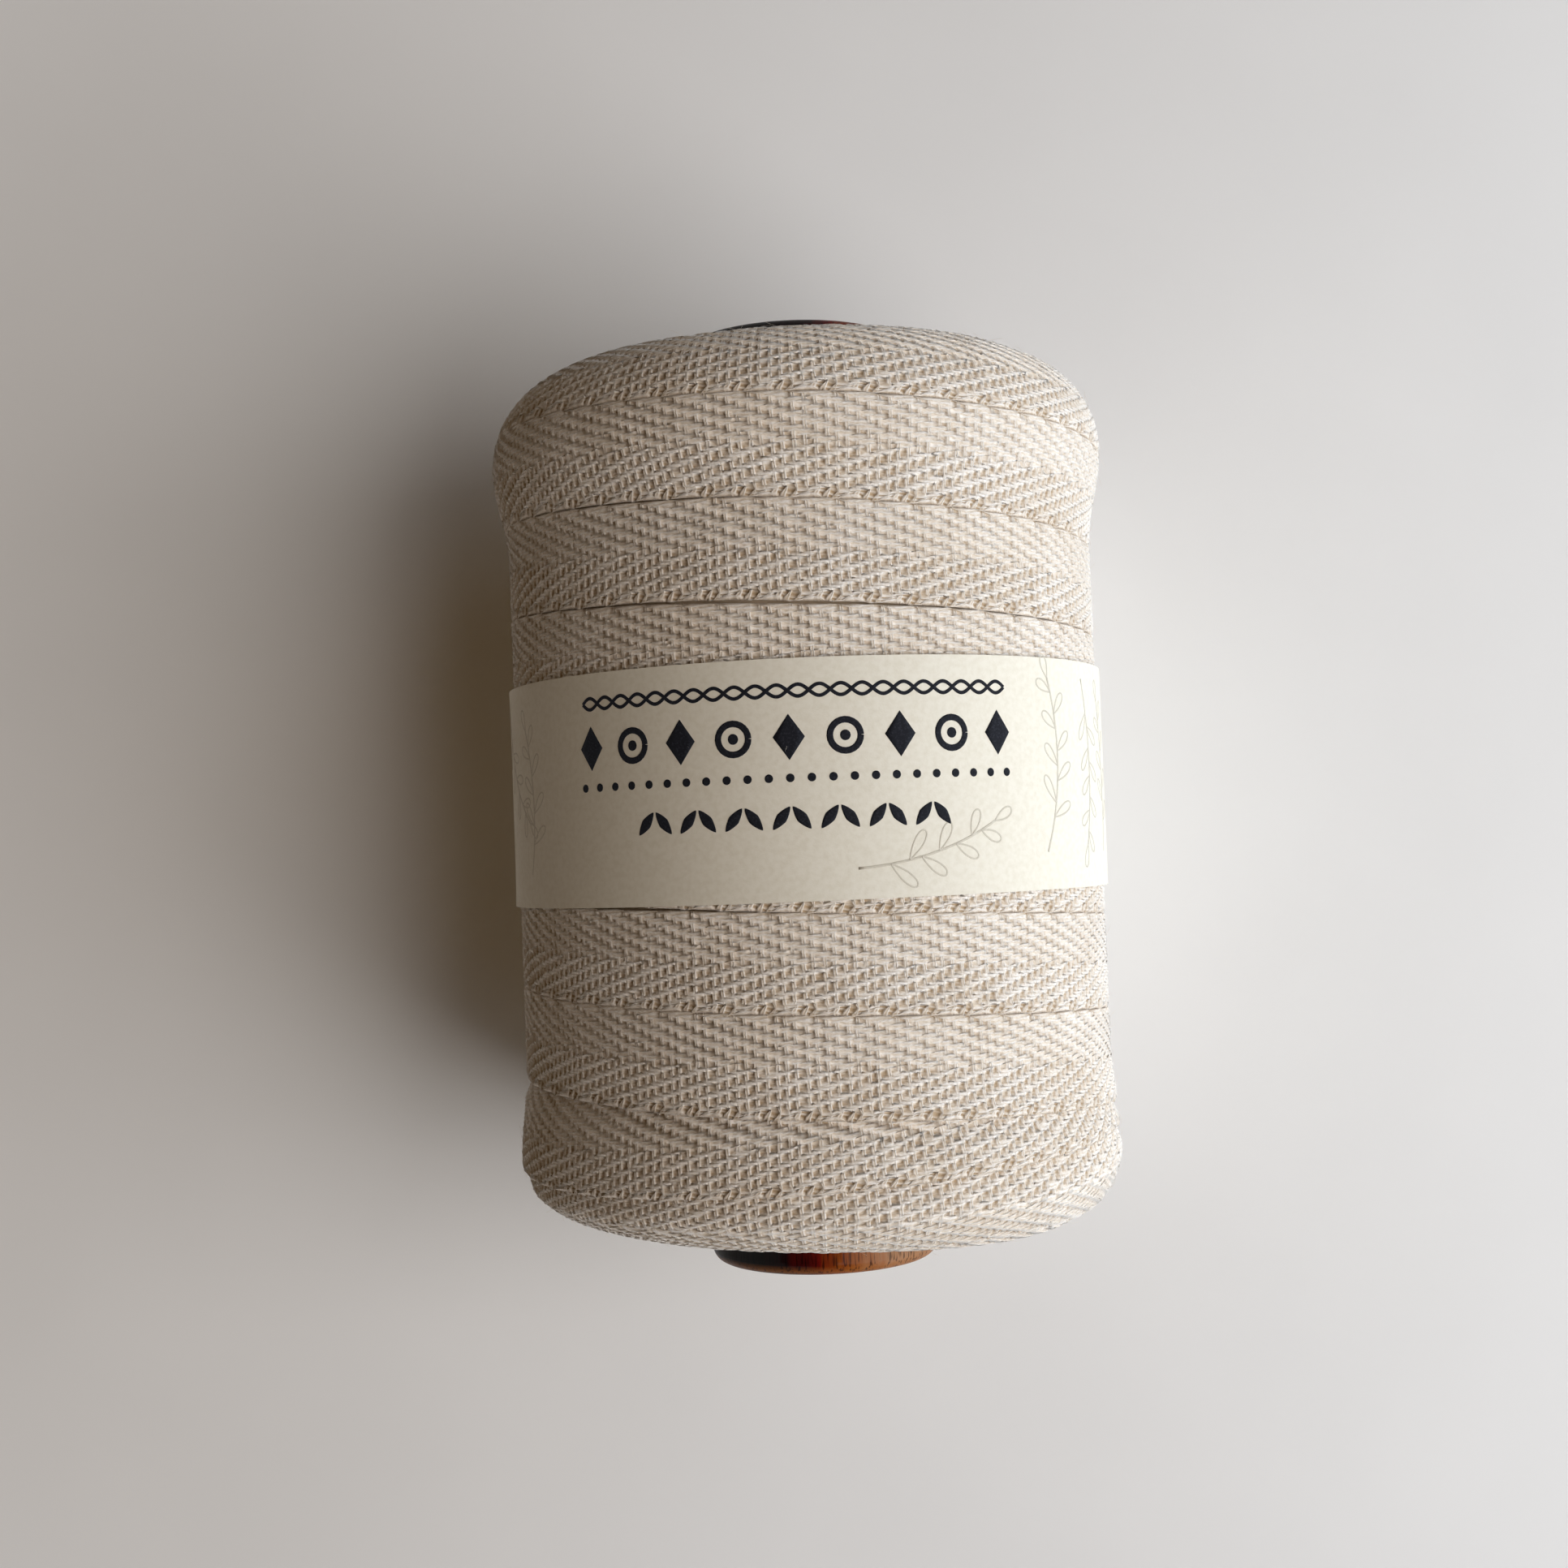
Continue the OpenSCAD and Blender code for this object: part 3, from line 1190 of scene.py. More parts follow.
def waves(turn: Array, parts: Rows) -> Array:
    """Adds up waves over the turns, given as rows of height, waves in a turn and phase."""
    return sum(height * np.sin(TURN * count * turn + phase) for height, count, phase in parts)


def sink(gap: Array, ramp: float = 2.4, depth: float = 0.62) -> Array:
    """Depth of a strip that comes out from under another.

    Args:
        gap: Distance past the edge of the tape that covers it, negative under it.
        ramp: Distance over which it comes up to the surface.
        depth: Depth while it is covered.

    Returns:
        The depths.
    """
    share = np.clip(1 - gap / ramp, 0, 1)
    return depth * share * share * (3 - 2 * share)


@dataclass(frozen=True)
class Winding:
    """The path of the outermost pass, wound from the near end to the far end.

    A turn is numbered from the far end, and its lower edge is the seam between it and the next.
    Seams are mostly closed. Each row of open_seams gives the turn at its middle, its reach in
    turns and its width.
    """

    first_seam: float = 36.7
    pitch: float = 9.64
    last_turn: int = 7
    wander: float = 0.07
    wander_waves: Rows = ((1.0, 1.37, 0.4), (0.5, 3.1, 2.0), (0.35, 7.3, 1.0), (0.2, 17.9, 0.0))
    seam_gap: float = -0.02
    seam_play: float = 0.025
    play_waves: Rows = ((1.0, 2.3, 1.1), (0.6, 5.7, 0.0), (0.7, 31.0, 0.0))
    open_seams: Rows = ((1.97, 0.11, 0.34), (4.86, 0.09, 0.4), (6.88, 0.08, 0.25), (0.9, 0.07, 0.12))

    def seam(self, turn: Array) -> Array:
        """Run of the seam after so many turns, counted with fractions."""
        return self.first_seam - self.pitch * turn + self.wander * waves(turn, self.wander_waves)

    def gap(self, turn: Array) -> Array:
        """Works out how far a seam is open.

        Args:
            turn: Turns from the far end, counted with fractions.

        Returns:
            Widths of the gap, negative where the edges overlap.
        """
        gap = self.seam_gap + self.seam_play * waves(turn, self.play_waves)
        for middle, reach, width in self.open_seams:
            gap = gap + width * np.exp(-((turn - middle) / reach) ** 2)
        return gap

    def lower(self, turn: int) -> Curve:
        """Lower edge of a turn, as a curve over the angle."""
        return lambda angle: self.seam(turn + angle / TURN) + self.gap(turn + angle / TURN) / 2

    def upper(self, turn: int) -> Curve:
        """Upper edge of a turn, as a curve over the angle."""
        return lambda angle: self.seam(turn - 1 + angle / TURN) - self.gap(turn - 1 + angle / TURN) / 2


@dataclass(frozen=True)
class RingEdge:
    """The outer edge of a ring of older tape, which wanders once round the bundle.

    ends is how many warp ends of the ring are modelled, and phase is in degrees.
    """

    run: float
    wander: float
    phase: float
    ends: int = 0

    def __call__(self, angle: Array) -> Array:
        """Run of the edge at an angle."""
        return self.run + self.wander * np.sin(angle - math.radians(self.phase))


@dataclass
class WoundTape:
    """All the tape that shows: the outermost pass, the turns it leaves bare, and both ends.

    One turn reverses at the near end, at the angle reversal. The turn under the band is modelled
    with fewer picks. Rings of older turns show on the shoulders, and rings of edges on the ends.
    """

    form: BundleForm
    weave: Weave = field(default_factory=Weave)
    winding: Winding = field(default_factory=Winding)
    picks_per_turn: int = 204
    hidden_turn: int = 4
    reversal: float = math.radians(-61)
    reversal_soft: float = math.radians(16)
    reversal_ease: float = 0.4
    reversal_drop: float = 0.12
    far_limit: RingEdge = RingEdge(49.6, 0.4, 0)
    near_rings: tuple[RingEdge, ...] = (
        RingEdge(-45.3, 1.9, 15, 30), RingEdge(-49.0, 0.9, 220, 21), RingEdge(-51.2, 0.5, 80, 12),
    )
    far_rings: tuple[RingEdge, ...] = (RingEdge(50.9, 0.5, 40, 30), RingEdge(52.6, 0.3, 190, 10))
    ring_picks: int = 192
    ring_fewer: int = 12
    ring_least: float = 0.8
    ring_ramp: float = 3.0
    face_first: int = 10
    face_pitch: float = 1.35
    face_wander: float = 0.35
    face_phase: float = 2.1
    face_ends: int = 7
    hollow_clearance: float = 0.15
    core_gap: float = 0.25
    core_hub: float = 0.3
    core_straight: float = 35.0
    core_bend: float = 36.0
    core_rows: int = 12
    core_end_rows: int = 24
    core_steps: int = 96

    @property
    def maker(self) -> StripMaker:
        """The tool that models strips."""
        return StripMaker(self.form, self.weave)

    def turn_back(self, angle: Array) -> Array:
        """Works out the lower edge of the turn that reverses at the near end.

        Args:
            angle: Angles about the axis.

        Returns:
            Runs of the edge.
        """
        soft = np.sqrt((angle - self.reversal) ** 2 + self.reversal_soft ** 2)
        soft = soft - self.reversal_soft * self.reversal_ease
        turns = self.winding.last_turn + 1 + self.reversal / TURN
        lowest = self.winding.first_seam - self.winding.pitch * turns
        return lowest - self.reversal_drop + self.winding.pitch / TURN * soft

    def near_cover(self, angle: Array) -> Array:
        """Lowest edge of the outermost pass at the near end."""
        return np.minimum(self.winding.lower(self.winding.last_turn)(angle), self.turn_back(angle))

    def far_cover(self, angle: Array) -> Array:
        """Highest edge of the outermost pass at the far end."""
        return np.minimum(self.winding.upper(0)(angle), self.far_limit(angle))

    def turns(self) -> list[Strip]:
        """Lists the turns of the outermost pass and the reversing turn under it.

        Returns:
            The strips, from the far end to the near end.
        """
        made = []
        for turn in range(self.winding.last_turn + 1):
            upper = self.far_cover if turn == 0 else self.winding.upper(turn)
            picks = self.picks_per_turn // 4 if turn == self.hidden_turn else self.picks_per_turn
            made.append(Strip(f"tape_turn_{turn + 1}", self.winding.lower(turn), upper, picks, seed=turn))
        last = self.winding.lower(self.winding.last_turn)
        made.append(
            Strip(
                f"tape_turn_{self.winding.last_turn + 2}",
                self.turn_back,
                lambda angle: self.turn_back(angle) + self.weave.width,
                self.picks_per_turn,
                cover=lambda angle, run: sink(last(angle) - run) * (angle > self.reversal - 1),
                seed=20,
            )
        )
        return made

    def shoulder_rings(self, side: Side) -> list[Strip]:
        """Lists the rings of older turns that show on a shoulder.

        Args:
            side: End of the bundle.

        Returns:
            The strips, from the waist outwards.
        """
        near = side is Side.NEAR
        cover = self.near_cover if near else self.far_cover
        rings = []
        for index, edge in enumerate(self.near_rings if near else self.far_rings):
            picks = self.ring_picks - self.ring_fewer * index
            rings.append(self.ring(side, index, cover, edge, edge.ends, picks))
            cover = edge
        return rings

    def ring(self, side: Side, index: int, cover: Curve, edge: Curve, ends: int, picks: int) -> Strip:
        """Describes one ring whose outer edge shows and whose inner part is covered.

        Args:
            side: End of the bundle.
            index: Number of the ring, from the waist outwards.
            cover: Run of the edge that covers it, as a curve over the angle.
            edge: Run of its own outer edge.
            ends: Warp ends modelled, counted from its outer edge.
            picks: Picks round the ring.

        Returns:
            The strip.
        """
        reach = ends * self.weave.end_pitch
        sign = side.value

        def under(angle: Array, run: Array) -> Array:
            """Finds how deep the ring lies: deep under its cover, and up at its own edge.

            Args:
                angle: Angles about the axis.
                run: Lengths along the surface.

            Returns:
                The depths.
            """
            exposed = sign * (run - cover(angle))
            width = np.maximum(sign * (edge(angle) - cover(angle)), self.ring_least)
            return sink(exposed, np.minimum(width, self.ring_ramp))

        def inner(angle: Array) -> Array:
            """Run of the ring's covered edge."""
            return edge(angle) - sign * reach

        lower, upper = (edge, inner) if side is Side.NEAR else (inner, edge)
        return Strip(
            f"tape_shoulder_{side.name.lower()}_{index + 1}", lower, upper, picks,
            first_end=0 if side is Side.NEAR else self.weave.ends - ends,
            end_count=ends, cover=under, closed=True, flipped=side is Side.NEAR, seed=40 + index,
        )

    def face_rings(self, side: Side) -> list[Strip]:
        """Lists the rings of tape edges on an end face, down to the collar.

        Args:
            side: End of the bundle.

        Returns:
            The strips, from the shoulder inwards.
        """
        sign = side.value
        start = abs((self.near_rings if side is Side.NEAR else self.far_rings)[-1].run)
        stop = self.form.face_run(side, self.form.collar_radius + self.hollow_clearance)
        count = round((stop - start) / self.face_pitch)
        step = (stop - start) / count

        def outer_edge(index: int) -> Curve:
            """Outer edge of a ring, which wanders less the nearer it is to the collar."""
            wander = (1 - (index + 1) / count) * self.face_wander
            return lambda angle: sign * (
                start + step * (index + 1)
                + wander * np.sin(angle * (1 + index % 2) + self.face_phase * index)
            )

        rings = []
        for index in range(count):
            radius = self.form.collar_radius + step * (count - index)
            picks = 4 * round(TURN * radius / self.weave.pick_pitch / 4)
            cover, edge = outer_edge(index - 1), outer_edge(index)
            rings.append(self.ring(side, index + self.face_first, cover, edge, self.face_ends, picks))
        return rings

    def core(self) -> bpy.types.Object:
        """Wraps the hidden layers as one plain body round the wood.

        Returns:
            The mesh object.
        """
        depth = self.weave.thickness + self.core_gap
        near_end, far_end = (
            self.form.face_run(side, self.form.collar_radius + self.core_hub)
            for side in (Side.NEAR, Side.FAR)
        )
        runs = np.concatenate([
            np.linspace(-near_end, -self.core_bend, self.core_end_rows),
            np.linspace(-self.core_straight, self.core_straight, self.core_rows),
            np.linspace(self.core_bend, far_end, self.core_end_rows),
        ])
        piece, column, row = new_grid("tape_core", self.core_steps + 1, len(runs) + 3)
        angle = column * TURN / self.core_steps
        outline = np.concatenate([runs[:1], runs, runs[-1:], runs[:1]])
        places = self.form.place(outline[row], angle, np.full(angle.shape, depth))
        hub = (self.form.collar_radius + self.hollow_clearance) * MM
        on_hub = (row == 0) | (row > len(runs))
        places[on_hub, 0] = (hub * np.sin(angle))[on_hub]
        places[on_hub, 2] = (self.form.axis_height * MM + hub * np.cos(angle))[on_hub]
        places[:, 2] = np.maximum(places[:, 2], depth * MM)
        move_vertices(piece, places)
        piece.data.uv_layers[0].name = "tape_run"
        # Both attributes stay at 0, so the core takes the cotton's painted hollow shade where it shows in
        # the seams.
        for name in ("yarn_height", "weft_share"):
            piece.data.attributes.new(name, "FLOAT", "POINT")
        close_mesh(piece, fill=False)
        return piece

    def join(self, name: str, strips: list[Strip]) -> bpy.types.Object:
        """Models several strips and joins them into one piece.

        Args:
            name: Name of the piece.
            strips: Its strips.

        Returns:
            The mesh object.
        """
        built = [self.maker.build(strip) for strip in strips]
        clear_selection()
        for piece in built:
            piece.select_set(True)
        bpy.context.view_layer.objects.active = built[0]
        bpy.ops.object.join()
        built[0].name = built[0].data.name = name
        return built[0]

    def build(self, cotton: bpy.types.Material) -> None:
        """Models and dresses all the tape.

        Args:
            cotton: Its finish.
        """
        core = self.core()
        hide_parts("tape_inner_layers")
        pieces = [core] + [self.maker.build(strip) for strip in self.turns()]
        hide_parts("tape_outer_layer")
        for side in Side:
            pieces += [self.maker.build(strip) for strip in self.shoulder_rings(side)]
            pieces.append(self.join(f"tape_edges_{side.name.lower()}", self.face_rings(side)))
        for piece in pieces:
            dress(piece, cotton, Body.SPOOL)


@dataclass
class CottonHairs:
    """Short loose fibres that stand off the tape all over."""

    form: BundleForm
    count: int = 2600
    length: tuple[float, float] = (0.5, 1.9)
    lift: tuple[float, float] = (0.1, 0.55)
    sag: tuple[float, float] = (0.0, 0.5)
    curl: float = 0.35
    bow: float = 0.4
    root_depth: float = 0.12
    dip: float = 0.1
    thickness: float = 0.018
    reach: float = 50.0
    rings: int = 6
    corners: int = 4
    seed: int = 7

    def build(self, fuzz: bpy.types.Material) -> None:
        """Models the fibres as thin three-sided tubes, pointed at both ends.

        Args:
            fuzz: Their finish.
        """
        random = np.random.default_rng(self.seed)
        piece, column, row, part = new_parts("cotton_hairs", self.rings, self.corners, self.count)
        run = random.uniform(-self.reach, self.reach, self.count)
        angle = random.uniform(-math.pi, math.pi, self.count)
        root = self.form.place(run, angle, np.full(self.count, self.root_depth)) / MM
        out = self.form.place(run, angle, np.full(self.count, self.root_depth - 1)) / MM - root
        aside = np.stack([np.cos(angle), 0 * angle, -np.sin(angle)], axis=-1)
        across = np.cross(out, aside)
        heading = random.uniform(0, TURN, self.count)[:, None]
        flow = aside * np.cos(heading) + across * np.sin(heading)
        turn = np.cross(out, flow)
        length, lift, sag = (
            random.uniform(*span, self.count)[:, None] for span in (self.length, self.lift, self.sag)
        )
        curl = random.normal(0, self.curl, self.count)[:, None]

        share = (column / (self.rings - 1))[:, None]
        bow = self.bow * np.sin(share * math.pi)
        rise = length[part] * (lift[part] * share - sag[part] * share ** 2)
        centre = root[part] + length[part] * (flow[part] * share + turn[part] * curl[part] * bow)
        centre = centre + out[part] * np.maximum(rise, -self.dip)
        turned = (row * TURN / (self.corners - 1))[:, None]
        girth = self.thickness / 2 * np.sqrt(np.clip(1 - (2 * share - 1) ** 4, 0, 1))
        places = centre + girth * (out[part] * np.cos(turned) + turn[part] * np.sin(turned))
        places[:, 2] = np.maximum(places[:, 2], self.thickness)
        move_vertices(piece, places * MM)
        close_mesh(piece)
        dress(piece, fuzz, Body.SPOOL)


# ---------------------------------------------------------------- band and wood


@dataclass
class PaperBand:
    """The strip of paper round the waist, glued to itself at its lowest line."""

    axis_height: float
    middle: float
    width: float
    inner_radius: float = 31.32
    thickness: float = 0.2
    overlap: float = 12.0
    lap_gap: float = 0.02
    lap_step: float = 0.05
    edge_lift: float = 0.035
    edge_wander: float = 0.05
    segments: int = 420
    rows: int = 14

    @property
    def outer_radius(self) -> float:
        """Radius of the paper's outer side."""
        return self.inner_radius + self.thickness

    def lift(self, angle: Array, share: Array) -> Array:
        """How far the paper stands off at angles, and at shares of its width: more at its edges."""
        play = 1 + np.sin(3 * angle) + 0.6 * np.sin(7 * angle + 1)
        return self.edge_lift * np.abs(2 * share - 1) ** 6 * play

    def wrap(self, angle: Array, along: Array, radius: Array) -> Array:
        """Turns places on the band to rows of x, y, z in metres."""
        height = np.maximum(self.axis_height + radius * np.cos(angle), 0)
        return np.stack([radius * np.sin(angle), along, height], axis=-1) * MM

    def build(self, paper: bpy.types.Material) -> None:
        """Models the strip as a grid, wraps it and gives it its thickness.

        Args:
            paper: Its finish.
        """
        piece, column, row = new_grid("paper_strip", self.segments + 1, self.rows + 1)
        half_lap = self.overlap / self.inner_radius / 2
        angle = math.pi - half_lap + (TURN + 2 * half_lap) * column / self.segments
        share = row / self.rows
        lap = np.clip((angle - math.pi - TURN + half_lap + self.lap_step) / self.lap_step, 0, 1)
        radius = self.inner_radius + lap * (self.thickness + self.lap_gap) + self.lift(angle, share)
        along = self.middle + self.width * (share - 0.5) + self.edge_wander * np.sin(2 * angle + 0.5)
        move_vertices(piece, self.wrap(angle, along, radius))
        wall = piece.modifiers.new("wall", "SOLIDIFY")
        wall.thickness = self.thickness * MM
        wall.offset = 1.0
        bpy.ops.object.modifier_apply(modifier="wall")
        bpy.ops.object.shade_smooth_by_angle(angle=math.radians(40))
        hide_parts("paper_band")
        dress(piece, paper, Body.BAND)


@dataclass(frozen=True)
class Sprig:
    """A stem with leaves: its foot on the unrolled band, its length, its angles and its leaves.

    tilt is the stem's angle at its foot, and bend the angle through which it turns, in degrees.
    """

    x: float
    y: float
    reach: float
    tilt: float
    bend: float
    leaves: int


@dataclass
class BandPrint:
    """A plain pattern printed on the band: rows of small motifs, and pale sprigs beside them.

    Every motif is made of strokes. A stroke is a line of points on the unrolled band, with its
    length along the band counted from the top line, and a width at each point.
    """

    band: PaperBand
    points: int = 25
    lines: int = 5
    ink: float = 0.012
    dark_level: float = 0.008
    pale_level: float = 0.004
    rope_row: float = 8.3
    rope_swing: float = 0.55
    motif_row: float = 4.0
    dot_row: float = 0.2
    leaf_row: float = -3.5
    stem_width: float = 0.24
    leaf_line: float = 0.17
    leaf_length: float = 3.3
    leaf_shrink: float = 1.1
    leaf_belly: float = 0.62
    leaf_angle: float = 48.0
    first_leaf: float = 0.2
    sprigs: tuple[Sprig, ...] = (
        Sprig(25.5, -7.6, 17.5, 62, 48, 9),
        Sprig(33.5, 9.6, 17.0, -68, -40, 9),
        Sprig(40.0, -7.8, 15.5, 78, 30, 8),
        Sprig(4.0, -8.4, 15.0, 2, 26, 8),
        Sprig(-35.0, -8.0, 15.0, 70, 45, 8),
        Sprig(-44.0, 9.0, 15.0, -72, 36, 8),
    )
    strokes: list[tuple[Array, Array, Array]] = field(default_factory=list)

    def stroke(self, along: Array, across: Array, width: Array) -> None:
        """Keeps one stroke: places along and across the band, and widths."""
        self.strokes.append((along, across, width + 0 * along))

    def taper(self, power: float) -> Array:
        """Widths from 0 to 1 and back: 1 is a lozenge's sides, and 0.5 is a round dot's."""
        share = np.linspace(-1, 1, self.points)
        return (1 - np.abs(share) ** (1 / power)) ** power

    def blade(self, x: float, y: float, length: float, width: float, tilt: float, power: float) -> None:
        """Adds a filled motif: a lozenge, a leaf or a dot.

        Args:
            x: Place of its middle along the band.
            y: Place of its middle across the band.
            length: Its length.
            width: Its greatest width.
            tilt: Angle of its length to the band's length, in degrees.
            power: Form of its sides, as for taper.
        """
        step = np.linspace(-length / 2, length / 2, self.points)
        turn = math.radians(tilt)
        self.stroke(x + step * math.cos(turn), y + step * math.sin(turn), width * self.taper(power))

    def ring(self, x: float, y: float, radius: float, width: float) -> None:
        """Adds a ring of even width."""
        turn = np.linspace(0, TURN, self.points)
        self.stroke(x + radius * np.cos(turn), y + radius * np.sin(turn), width)

    def rope(self, start: float, stop: float, y: float, pitch: float, width: float) -> None:
        """Adds two waved lines that cross and cross again.

        Args:
            start: Where the rope begins along the band.
            stop: Where it ends.
            y: Place across the band.
            pitch: Length of one wave.
            width: Width of the lines.
        """
        count = round((stop - start) / pitch)
        for index in range(count):
            x = np.linspace(start + index * pitch, start + (index + 1) * pitch, self.points)
            for sign in (-1, 1):
                self.stroke(x, y + sign * self.rope_swing * np.sin(TURN * (x - start) / pitch), width)

    def sprig(self, plan: Sprig) -> None:
        """Adds a stem with outlined leaves on both sides and one at its tip.

        Args:
            plan: Where it stands and how it grows.
        """
        share = np.linspace(0, 1, self.points)
        turn = np.radians(plan.tilt + plan.bend * share)
        step = plan.reach / (self.points - 1)
        stem_x = plan.x + np.concatenate([[0], np.cumsum(step * np.cos(turn[1:]))])
        stem_y = plan.y + np.concatenate([[0], np.cumsum(step * np.sin(turn[1:]))])
        self.stroke(stem_x, stem_y, self.stem_width)
        around = np.linspace(0, TURN, self.points)
        last = plan.leaves - 1
        for index in range(plan.leaves):
            spot = round((self.first_leaf + (1 - self.first_leaf) * index / last) * (self.points - 1))
            side = (1 if index % 2 else -1) if index < last else 0
            heading = turn[spot] + side * math.radians(self.leaf_angle)
            length = self.leaf_length - self.leaf_shrink * index / plan.leaves
            body = length / 2 * (1 - np.cos(around))
            belly = self.leaf_belly * np.sin(around) * np.sin(around / 2)
            self.stroke(
                stem_x[spot] + body * math.cos(heading) - belly * math.sin(heading),
                stem_y[spot] + body * math.sin(heading) + belly * math.cos(heading),
                self.leaf_line,
            )

    def draw_rows(self) -> None:
        """Draws the dark rows: a rope, lozenges and rings, dots, and pairs of leaves."""
        self.rope(start=-24.0, stop=20.0, y=self.rope_row, pitch=4.0, width=0.34)
        for index in range(9):
            x = -23.0 + 5.25 * index
            if index % 2:
                self.ring(x, self.motif_row, radius=1.45, width=0.62)
                self.blade(x, self.motif_row, length=1.0, width=1.0, tilt=0, power=0.5)
            else:
                self.blade(x, self.motif_row, length=4.3, width=3.0, tilt=90, power=1.0)
        for index in range(23):
            x = -24.0 + 2.0 * index
            self.blade(x, self.dot_row, length=0.8, width=0.8, tilt=0, power=0.5)
        for index in range(7):
            for aside, tilt in ((-0.95, 52), (0.95, 128)):
                x = -15.5 + 4.5 * index + aside
                self.blade(x, self.leaf_row, length=2.7, width=1.05, tilt=tilt, power=0.75)

    def lay_ink(self, name: str, ink: bpy.types.Material, level: float) -> None:
        """Models the strokes that were drawn as a thin layer on the paper, and starts afresh.

        Args:
            name: Name of the piece.
            ink: Its finish.
            level: Height of the ink's foot over the paper.
        """
        piece, column, row, part = new_parts(name, self.points, self.lines, len(self.strokes))
        along, across, width = (np.stack(values) for values in zip(*self.strokes))
        slope_x, slope_y = np.gradient(along, axis=1), np.gradient(across, axis=1)
        size = np.hypot(slope_x, slope_y)
        side = (row / (self.lines - 1) - 0.5) * width[part, column]
        x = along[part, column] - side * (slope_y / size)[part, column]
        y = across[part, column] + side * (slope_x / size)[part, column]
        angle = x / self.band.outer_radius
        share = np.clip((y + self.band.width / 2) / self.band.width, 0, 1)
        radius = self.band.outer_radius + self.band.lift(angle, share) + level
        move_vertices(piece, self.band.wrap(angle, self.band.middle + y, radius))
        close_mesh(piece, fill=False)
        film = piece.modifiers.new("film", "SOLIDIFY")
        film.thickness = self.ink * MM
        film.offset = 1.0
        bpy.ops.object.modifier_apply(modifier="film")
        dress(piece, ink, Body.BAND)
        self.strokes.clear()

    def build(self, dark: bpy.types.Material, pale: bpy.types.Material) -> None:
        """Prints both colours.

        Args:
            dark: Finish of the rows.
            pale: Finish of the sprigs.
        """
        self.draw_rows()
        self.lay_ink("print_rows", dark, self.dark_level)
        for plan in self.sprigs:
            self.sprig(plan)
        self.lay_ink("print_sprigs", pale, self.pale_level)


def finish_wood(finish: bpy.types.Material) -> None:
    """Gives the turned spool its finish.

    Args:
        finish: Stained and varnished wood.
    """
    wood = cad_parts["wood_spool"]
    wood.data.materials.clear()
    wood.data.materials.append(finish)
    log.info("wood_spool: carried over with the finish %s", finish.name)


# ---------------------------------------------------------------- studio


@dataclass(frozen=True)
class Lamp:
    """A flat rectangular light. Angles are in degrees, and lengths in metres.

    It stands at a distance from the spool under an elevation and a heading, and its centre is
    lifted from there.
    """

    name: str
    elevation: float
    heading: float
    distance: float
    lift: float
    width: float
    height: float
    power: float
    colour: tuple[float, float, float]


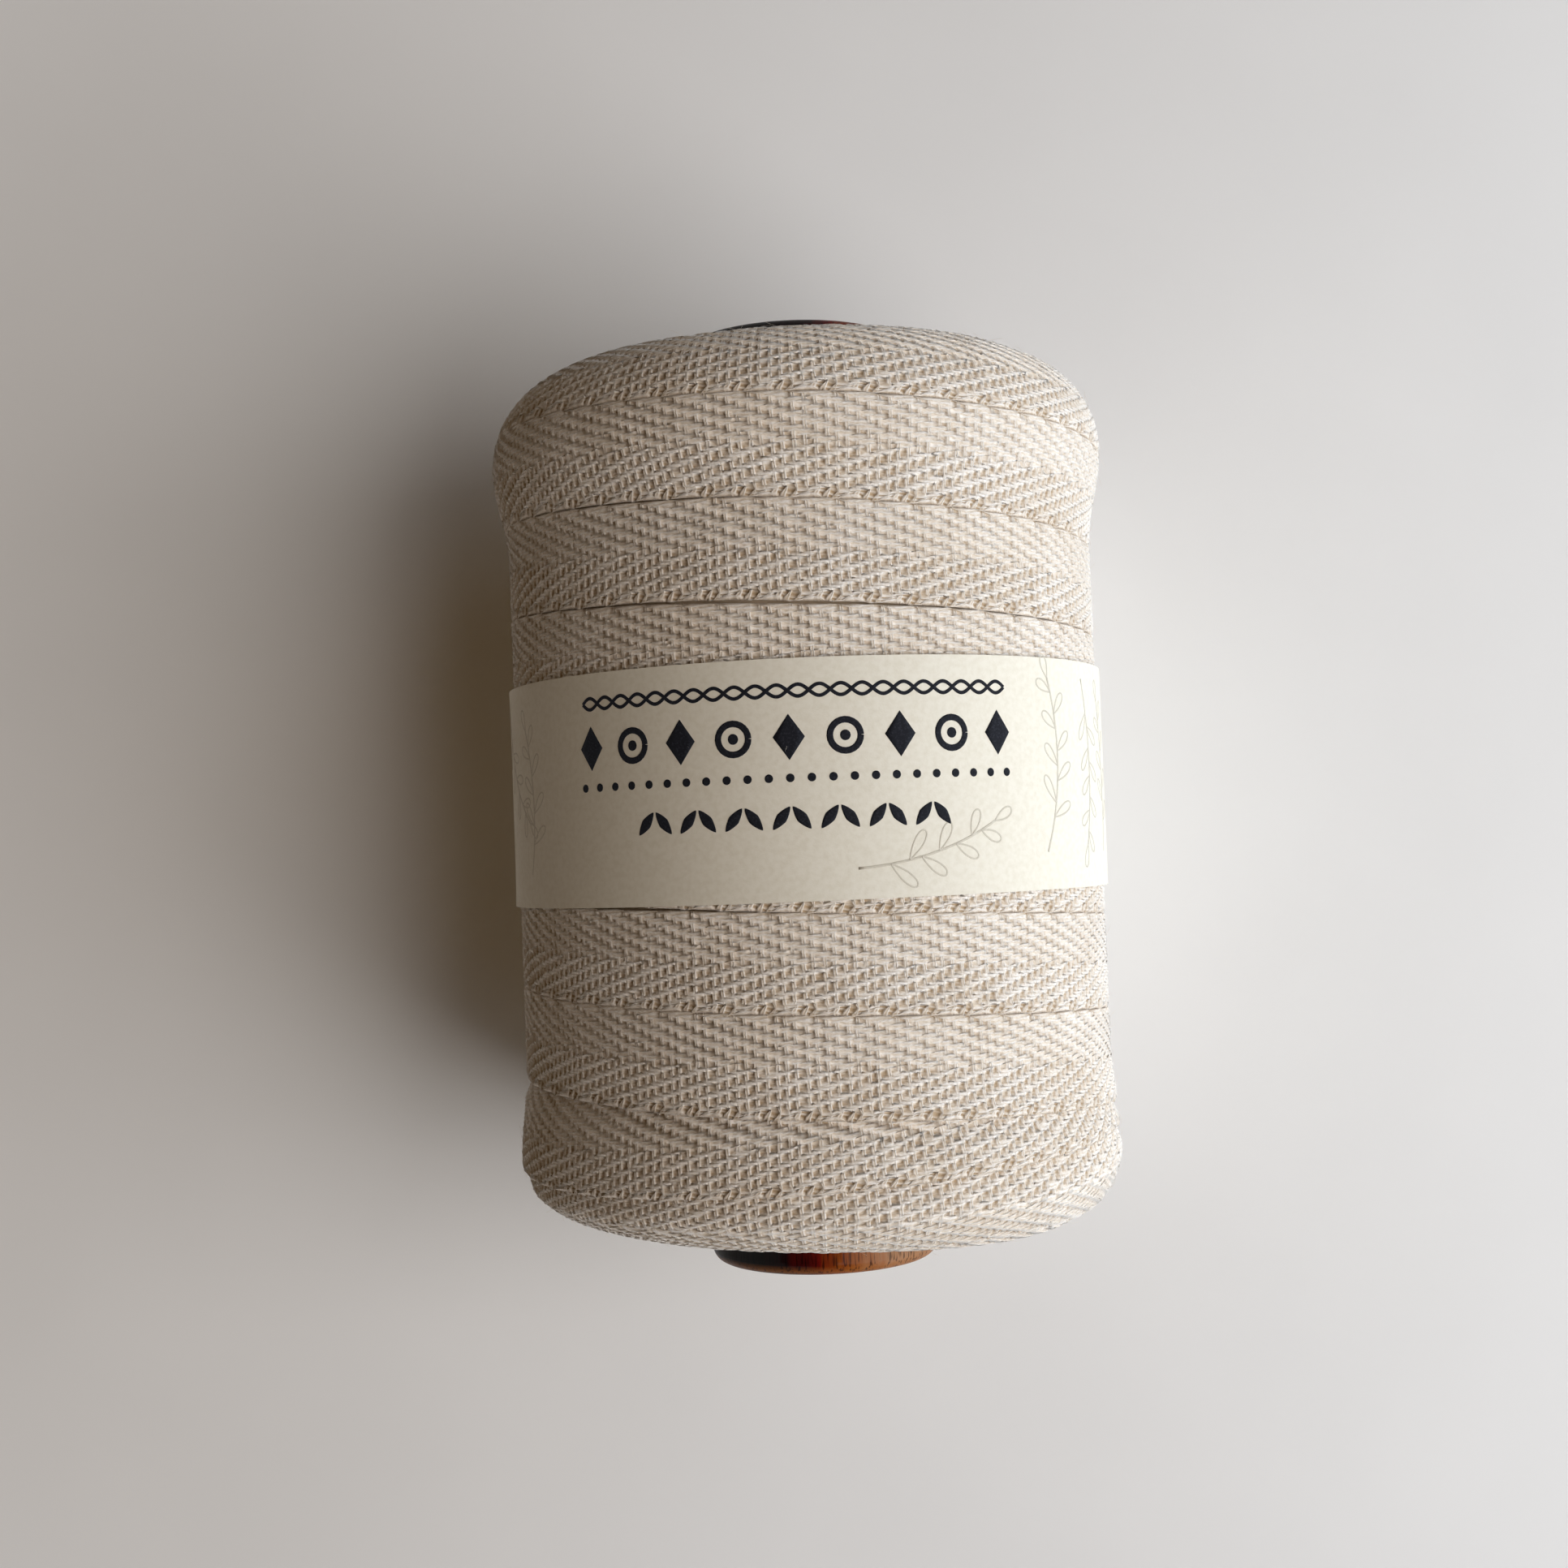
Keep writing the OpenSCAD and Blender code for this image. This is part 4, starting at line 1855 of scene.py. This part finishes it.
@dataclass
class Studio:
    """The pale board, the window-like light at the right, and the camera above.

    The camera's sensor and place are in mm. clip_start and the backdrop's sizes are in metres.
    """

    axis_height: float
    frame_pixels: float = 1932.0
    focal_pixels: float = 2520.0
    sensor: float = 36.0
    camera_x: float = -2.83
    camera_y: float = -5.41
    camera_over_axis: float = 220.46
    roll: float = math.radians(2.18)
    tilt: float = math.radians(1.78)
    fill: tuple[float, float, float] = (0.074, 0.046, 0.019)
    clip_start: float = 0.005
    backdrop_radius: float = 2.0
    backdrop_height: float = 1.8
    backdrop_sides: int = 96
    lamps: tuple[Lamp, ...] = (
        Lamp("window", 0, -6, 0.3, 0.11, 0.8, 0.22, 1.15, (0.73, 0.865, 1.0)),
        Lamp("softbox", 48, -20, 0.9, 0.02, 0.77, 0.77, 6.4, (1.0, 0.957, 0.925)),
    )

    def build(self, board: bpy.types.Material, backdrop: bpy.types.Material) -> None:
        """Builds everything that isn't the object.

        Args:
            board: Finish of the surface that the spool lies on.
            backdrop: Finish of the wall behind it.
        """
        self.add_camera()
        self.add_board(board)
        self.add_backdrop(backdrop)
        for lamp in self.lamps:
            self.add_light(lamp)
        self.set_world()

    def add_camera(self) -> None:
        """Puts the camera over the spool, tilted and rolled a little."""
        data = bpy.data.cameras.new("camera")
        data.sensor_width = self.sensor
        data.lens = self.focal_pixels / self.frame_pixels * self.sensor
        data.clip_start = self.clip_start
        camera = bpy.data.objects.new("camera", data)
        bpy.context.scene.collection.objects.link(camera)
        sin_r, cos_r = math.sin(self.roll), math.cos(self.roll)
        sin_t, cos_t = math.sin(self.tilt), math.cos(self.tilt)
        height = self.axis_height + self.camera_over_axis
        camera.matrix_world = Matrix((
            (cos_r, cos_t * sin_r, -sin_t * sin_r, self.camera_x * MM),
            (-sin_r, cos_t * cos_r, -sin_t * cos_r, self.camera_y * MM),
            (0, sin_t, cos_t, height * MM),
            (0, 0, 0, 1),
        ))
        bpy.context.scene.camera = camera

    def add_board(self, finish: bpy.types.Material) -> None:
        """Adds the surface that the spool lies on.

        Args:
            finish: Its finish.
        """
        clear_selection()
        bpy.ops.mesh.primitive_circle_add(
            vertices=self.backdrop_sides, radius=self.backdrop_radius, fill_type="NGON",
        )
        board = bpy.context.object
        board.name = "board"
        board.data.materials.append(finish)

    def add_backdrop(self, finish: bpy.types.Material) -> None:
        """Adds a far round wall, so that low views end in the same pale tone as the board.

        Args:
            finish: Its finish.
        """
        clear_selection()
        bpy.ops.mesh.primitive_cylinder_add(
            vertices=self.backdrop_sides, radius=self.backdrop_radius, depth=self.backdrop_height,
            end_fill_type="NOTHING", location=(0, 0, self.backdrop_height / 2),
        )
        wall = bpy.context.object
        wall.name = "backdrop"
        wall.data.materials.append(finish)

    def add_light(self, lamp: Lamp) -> None:
        """Adds one light, with its face towards the spool.

        Args:
            lamp: What it is and where it stands.
        """
        data = bpy.data.lights.new(lamp.name, "AREA")
        data.shape = "RECTANGLE"
        data.size = lamp.width
        data.size_y = lamp.height
        data.energy = lamp.power
        data.color = lamp.colour
        light = bpy.data.objects.new(lamp.name, data)
        bpy.context.scene.collection.objects.link(light)
        elevation, heading = math.radians(lamp.elevation), math.radians(lamp.heading)
        away = Vector((
            math.cos(elevation) * math.cos(heading),
            math.cos(elevation) * math.sin(heading),
            math.sin(elevation),
        ))
        light.location = away * lamp.distance + Vector((0, 0, lamp.lift))
        light.rotation_euler = away.to_track_quat("Z", "Y").to_euler()
        light.visible_camera = False

    def set_world(self) -> None:
        """Gives the world a dim warm light that fills the shadows."""
        world = bpy.data.worlds.new("fill")
        bpy.context.scene.world = world
        world.use_nodes = True
        tree = world.node_tree
        tree.nodes.clear()
        fill = add_node(tree, "ShaderNodeBackground", {"Color": (*self.fill, 1.0), "Strength": 1.0})
        add_node(tree, "ShaderNodeOutputWorld", {"Surface": fill.outputs[0]})


def main() -> None:
    """Builds the studio and the object's pieces in order."""
    logging.basicConfig(level=logging.INFO, format="%(name)s: %(message)s")
    bpy.context.scene.view_settings.view_transform = "Standard"
    wood_low, wood_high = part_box("wood_spool")
    axis_height = (wood_low[2] + wood_high[2]) / 2 / MM
    collar_radius = (wood_high[0] - wood_low[0]) / 2 / MM
    half_length = (wood_high[1] - wood_low[1]) / 2 / MM
    Studio(axis_height).build(PaintedBoard().build(), PaleBackdrop().build())
    finish_wood(StainedBeech(axis_height, collar_radius, half_length).build())

    tape = WoundTape(BundleForm(axis_height, collar_radius))
    weave = tape.weave
    tape.build(UnbleachedCotton(weave.end_pitch, weave.pick_pitch, weave.strand_offset).build())
    CottonHairs(tape.form).build(CottonFuzz().build())

    band_low, band_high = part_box("paper_band")
    middle = (band_low[1] + band_high[1]) / 2 / MM
    width = (band_high[1] - band_low[1]) / MM
    band = PaperBand(axis_height, middle, width)
    band.build(UncoatedPaper().build())
    pale_ink = PrintingInk("pale_grey_ink", tones=((0.5, "#cfc9bb"), (0.75, "#dad5c8")))
    BandPrint(band).build(PrintingInk().build(), pale_ink.build())


if __name__ == "__main__":
    main()
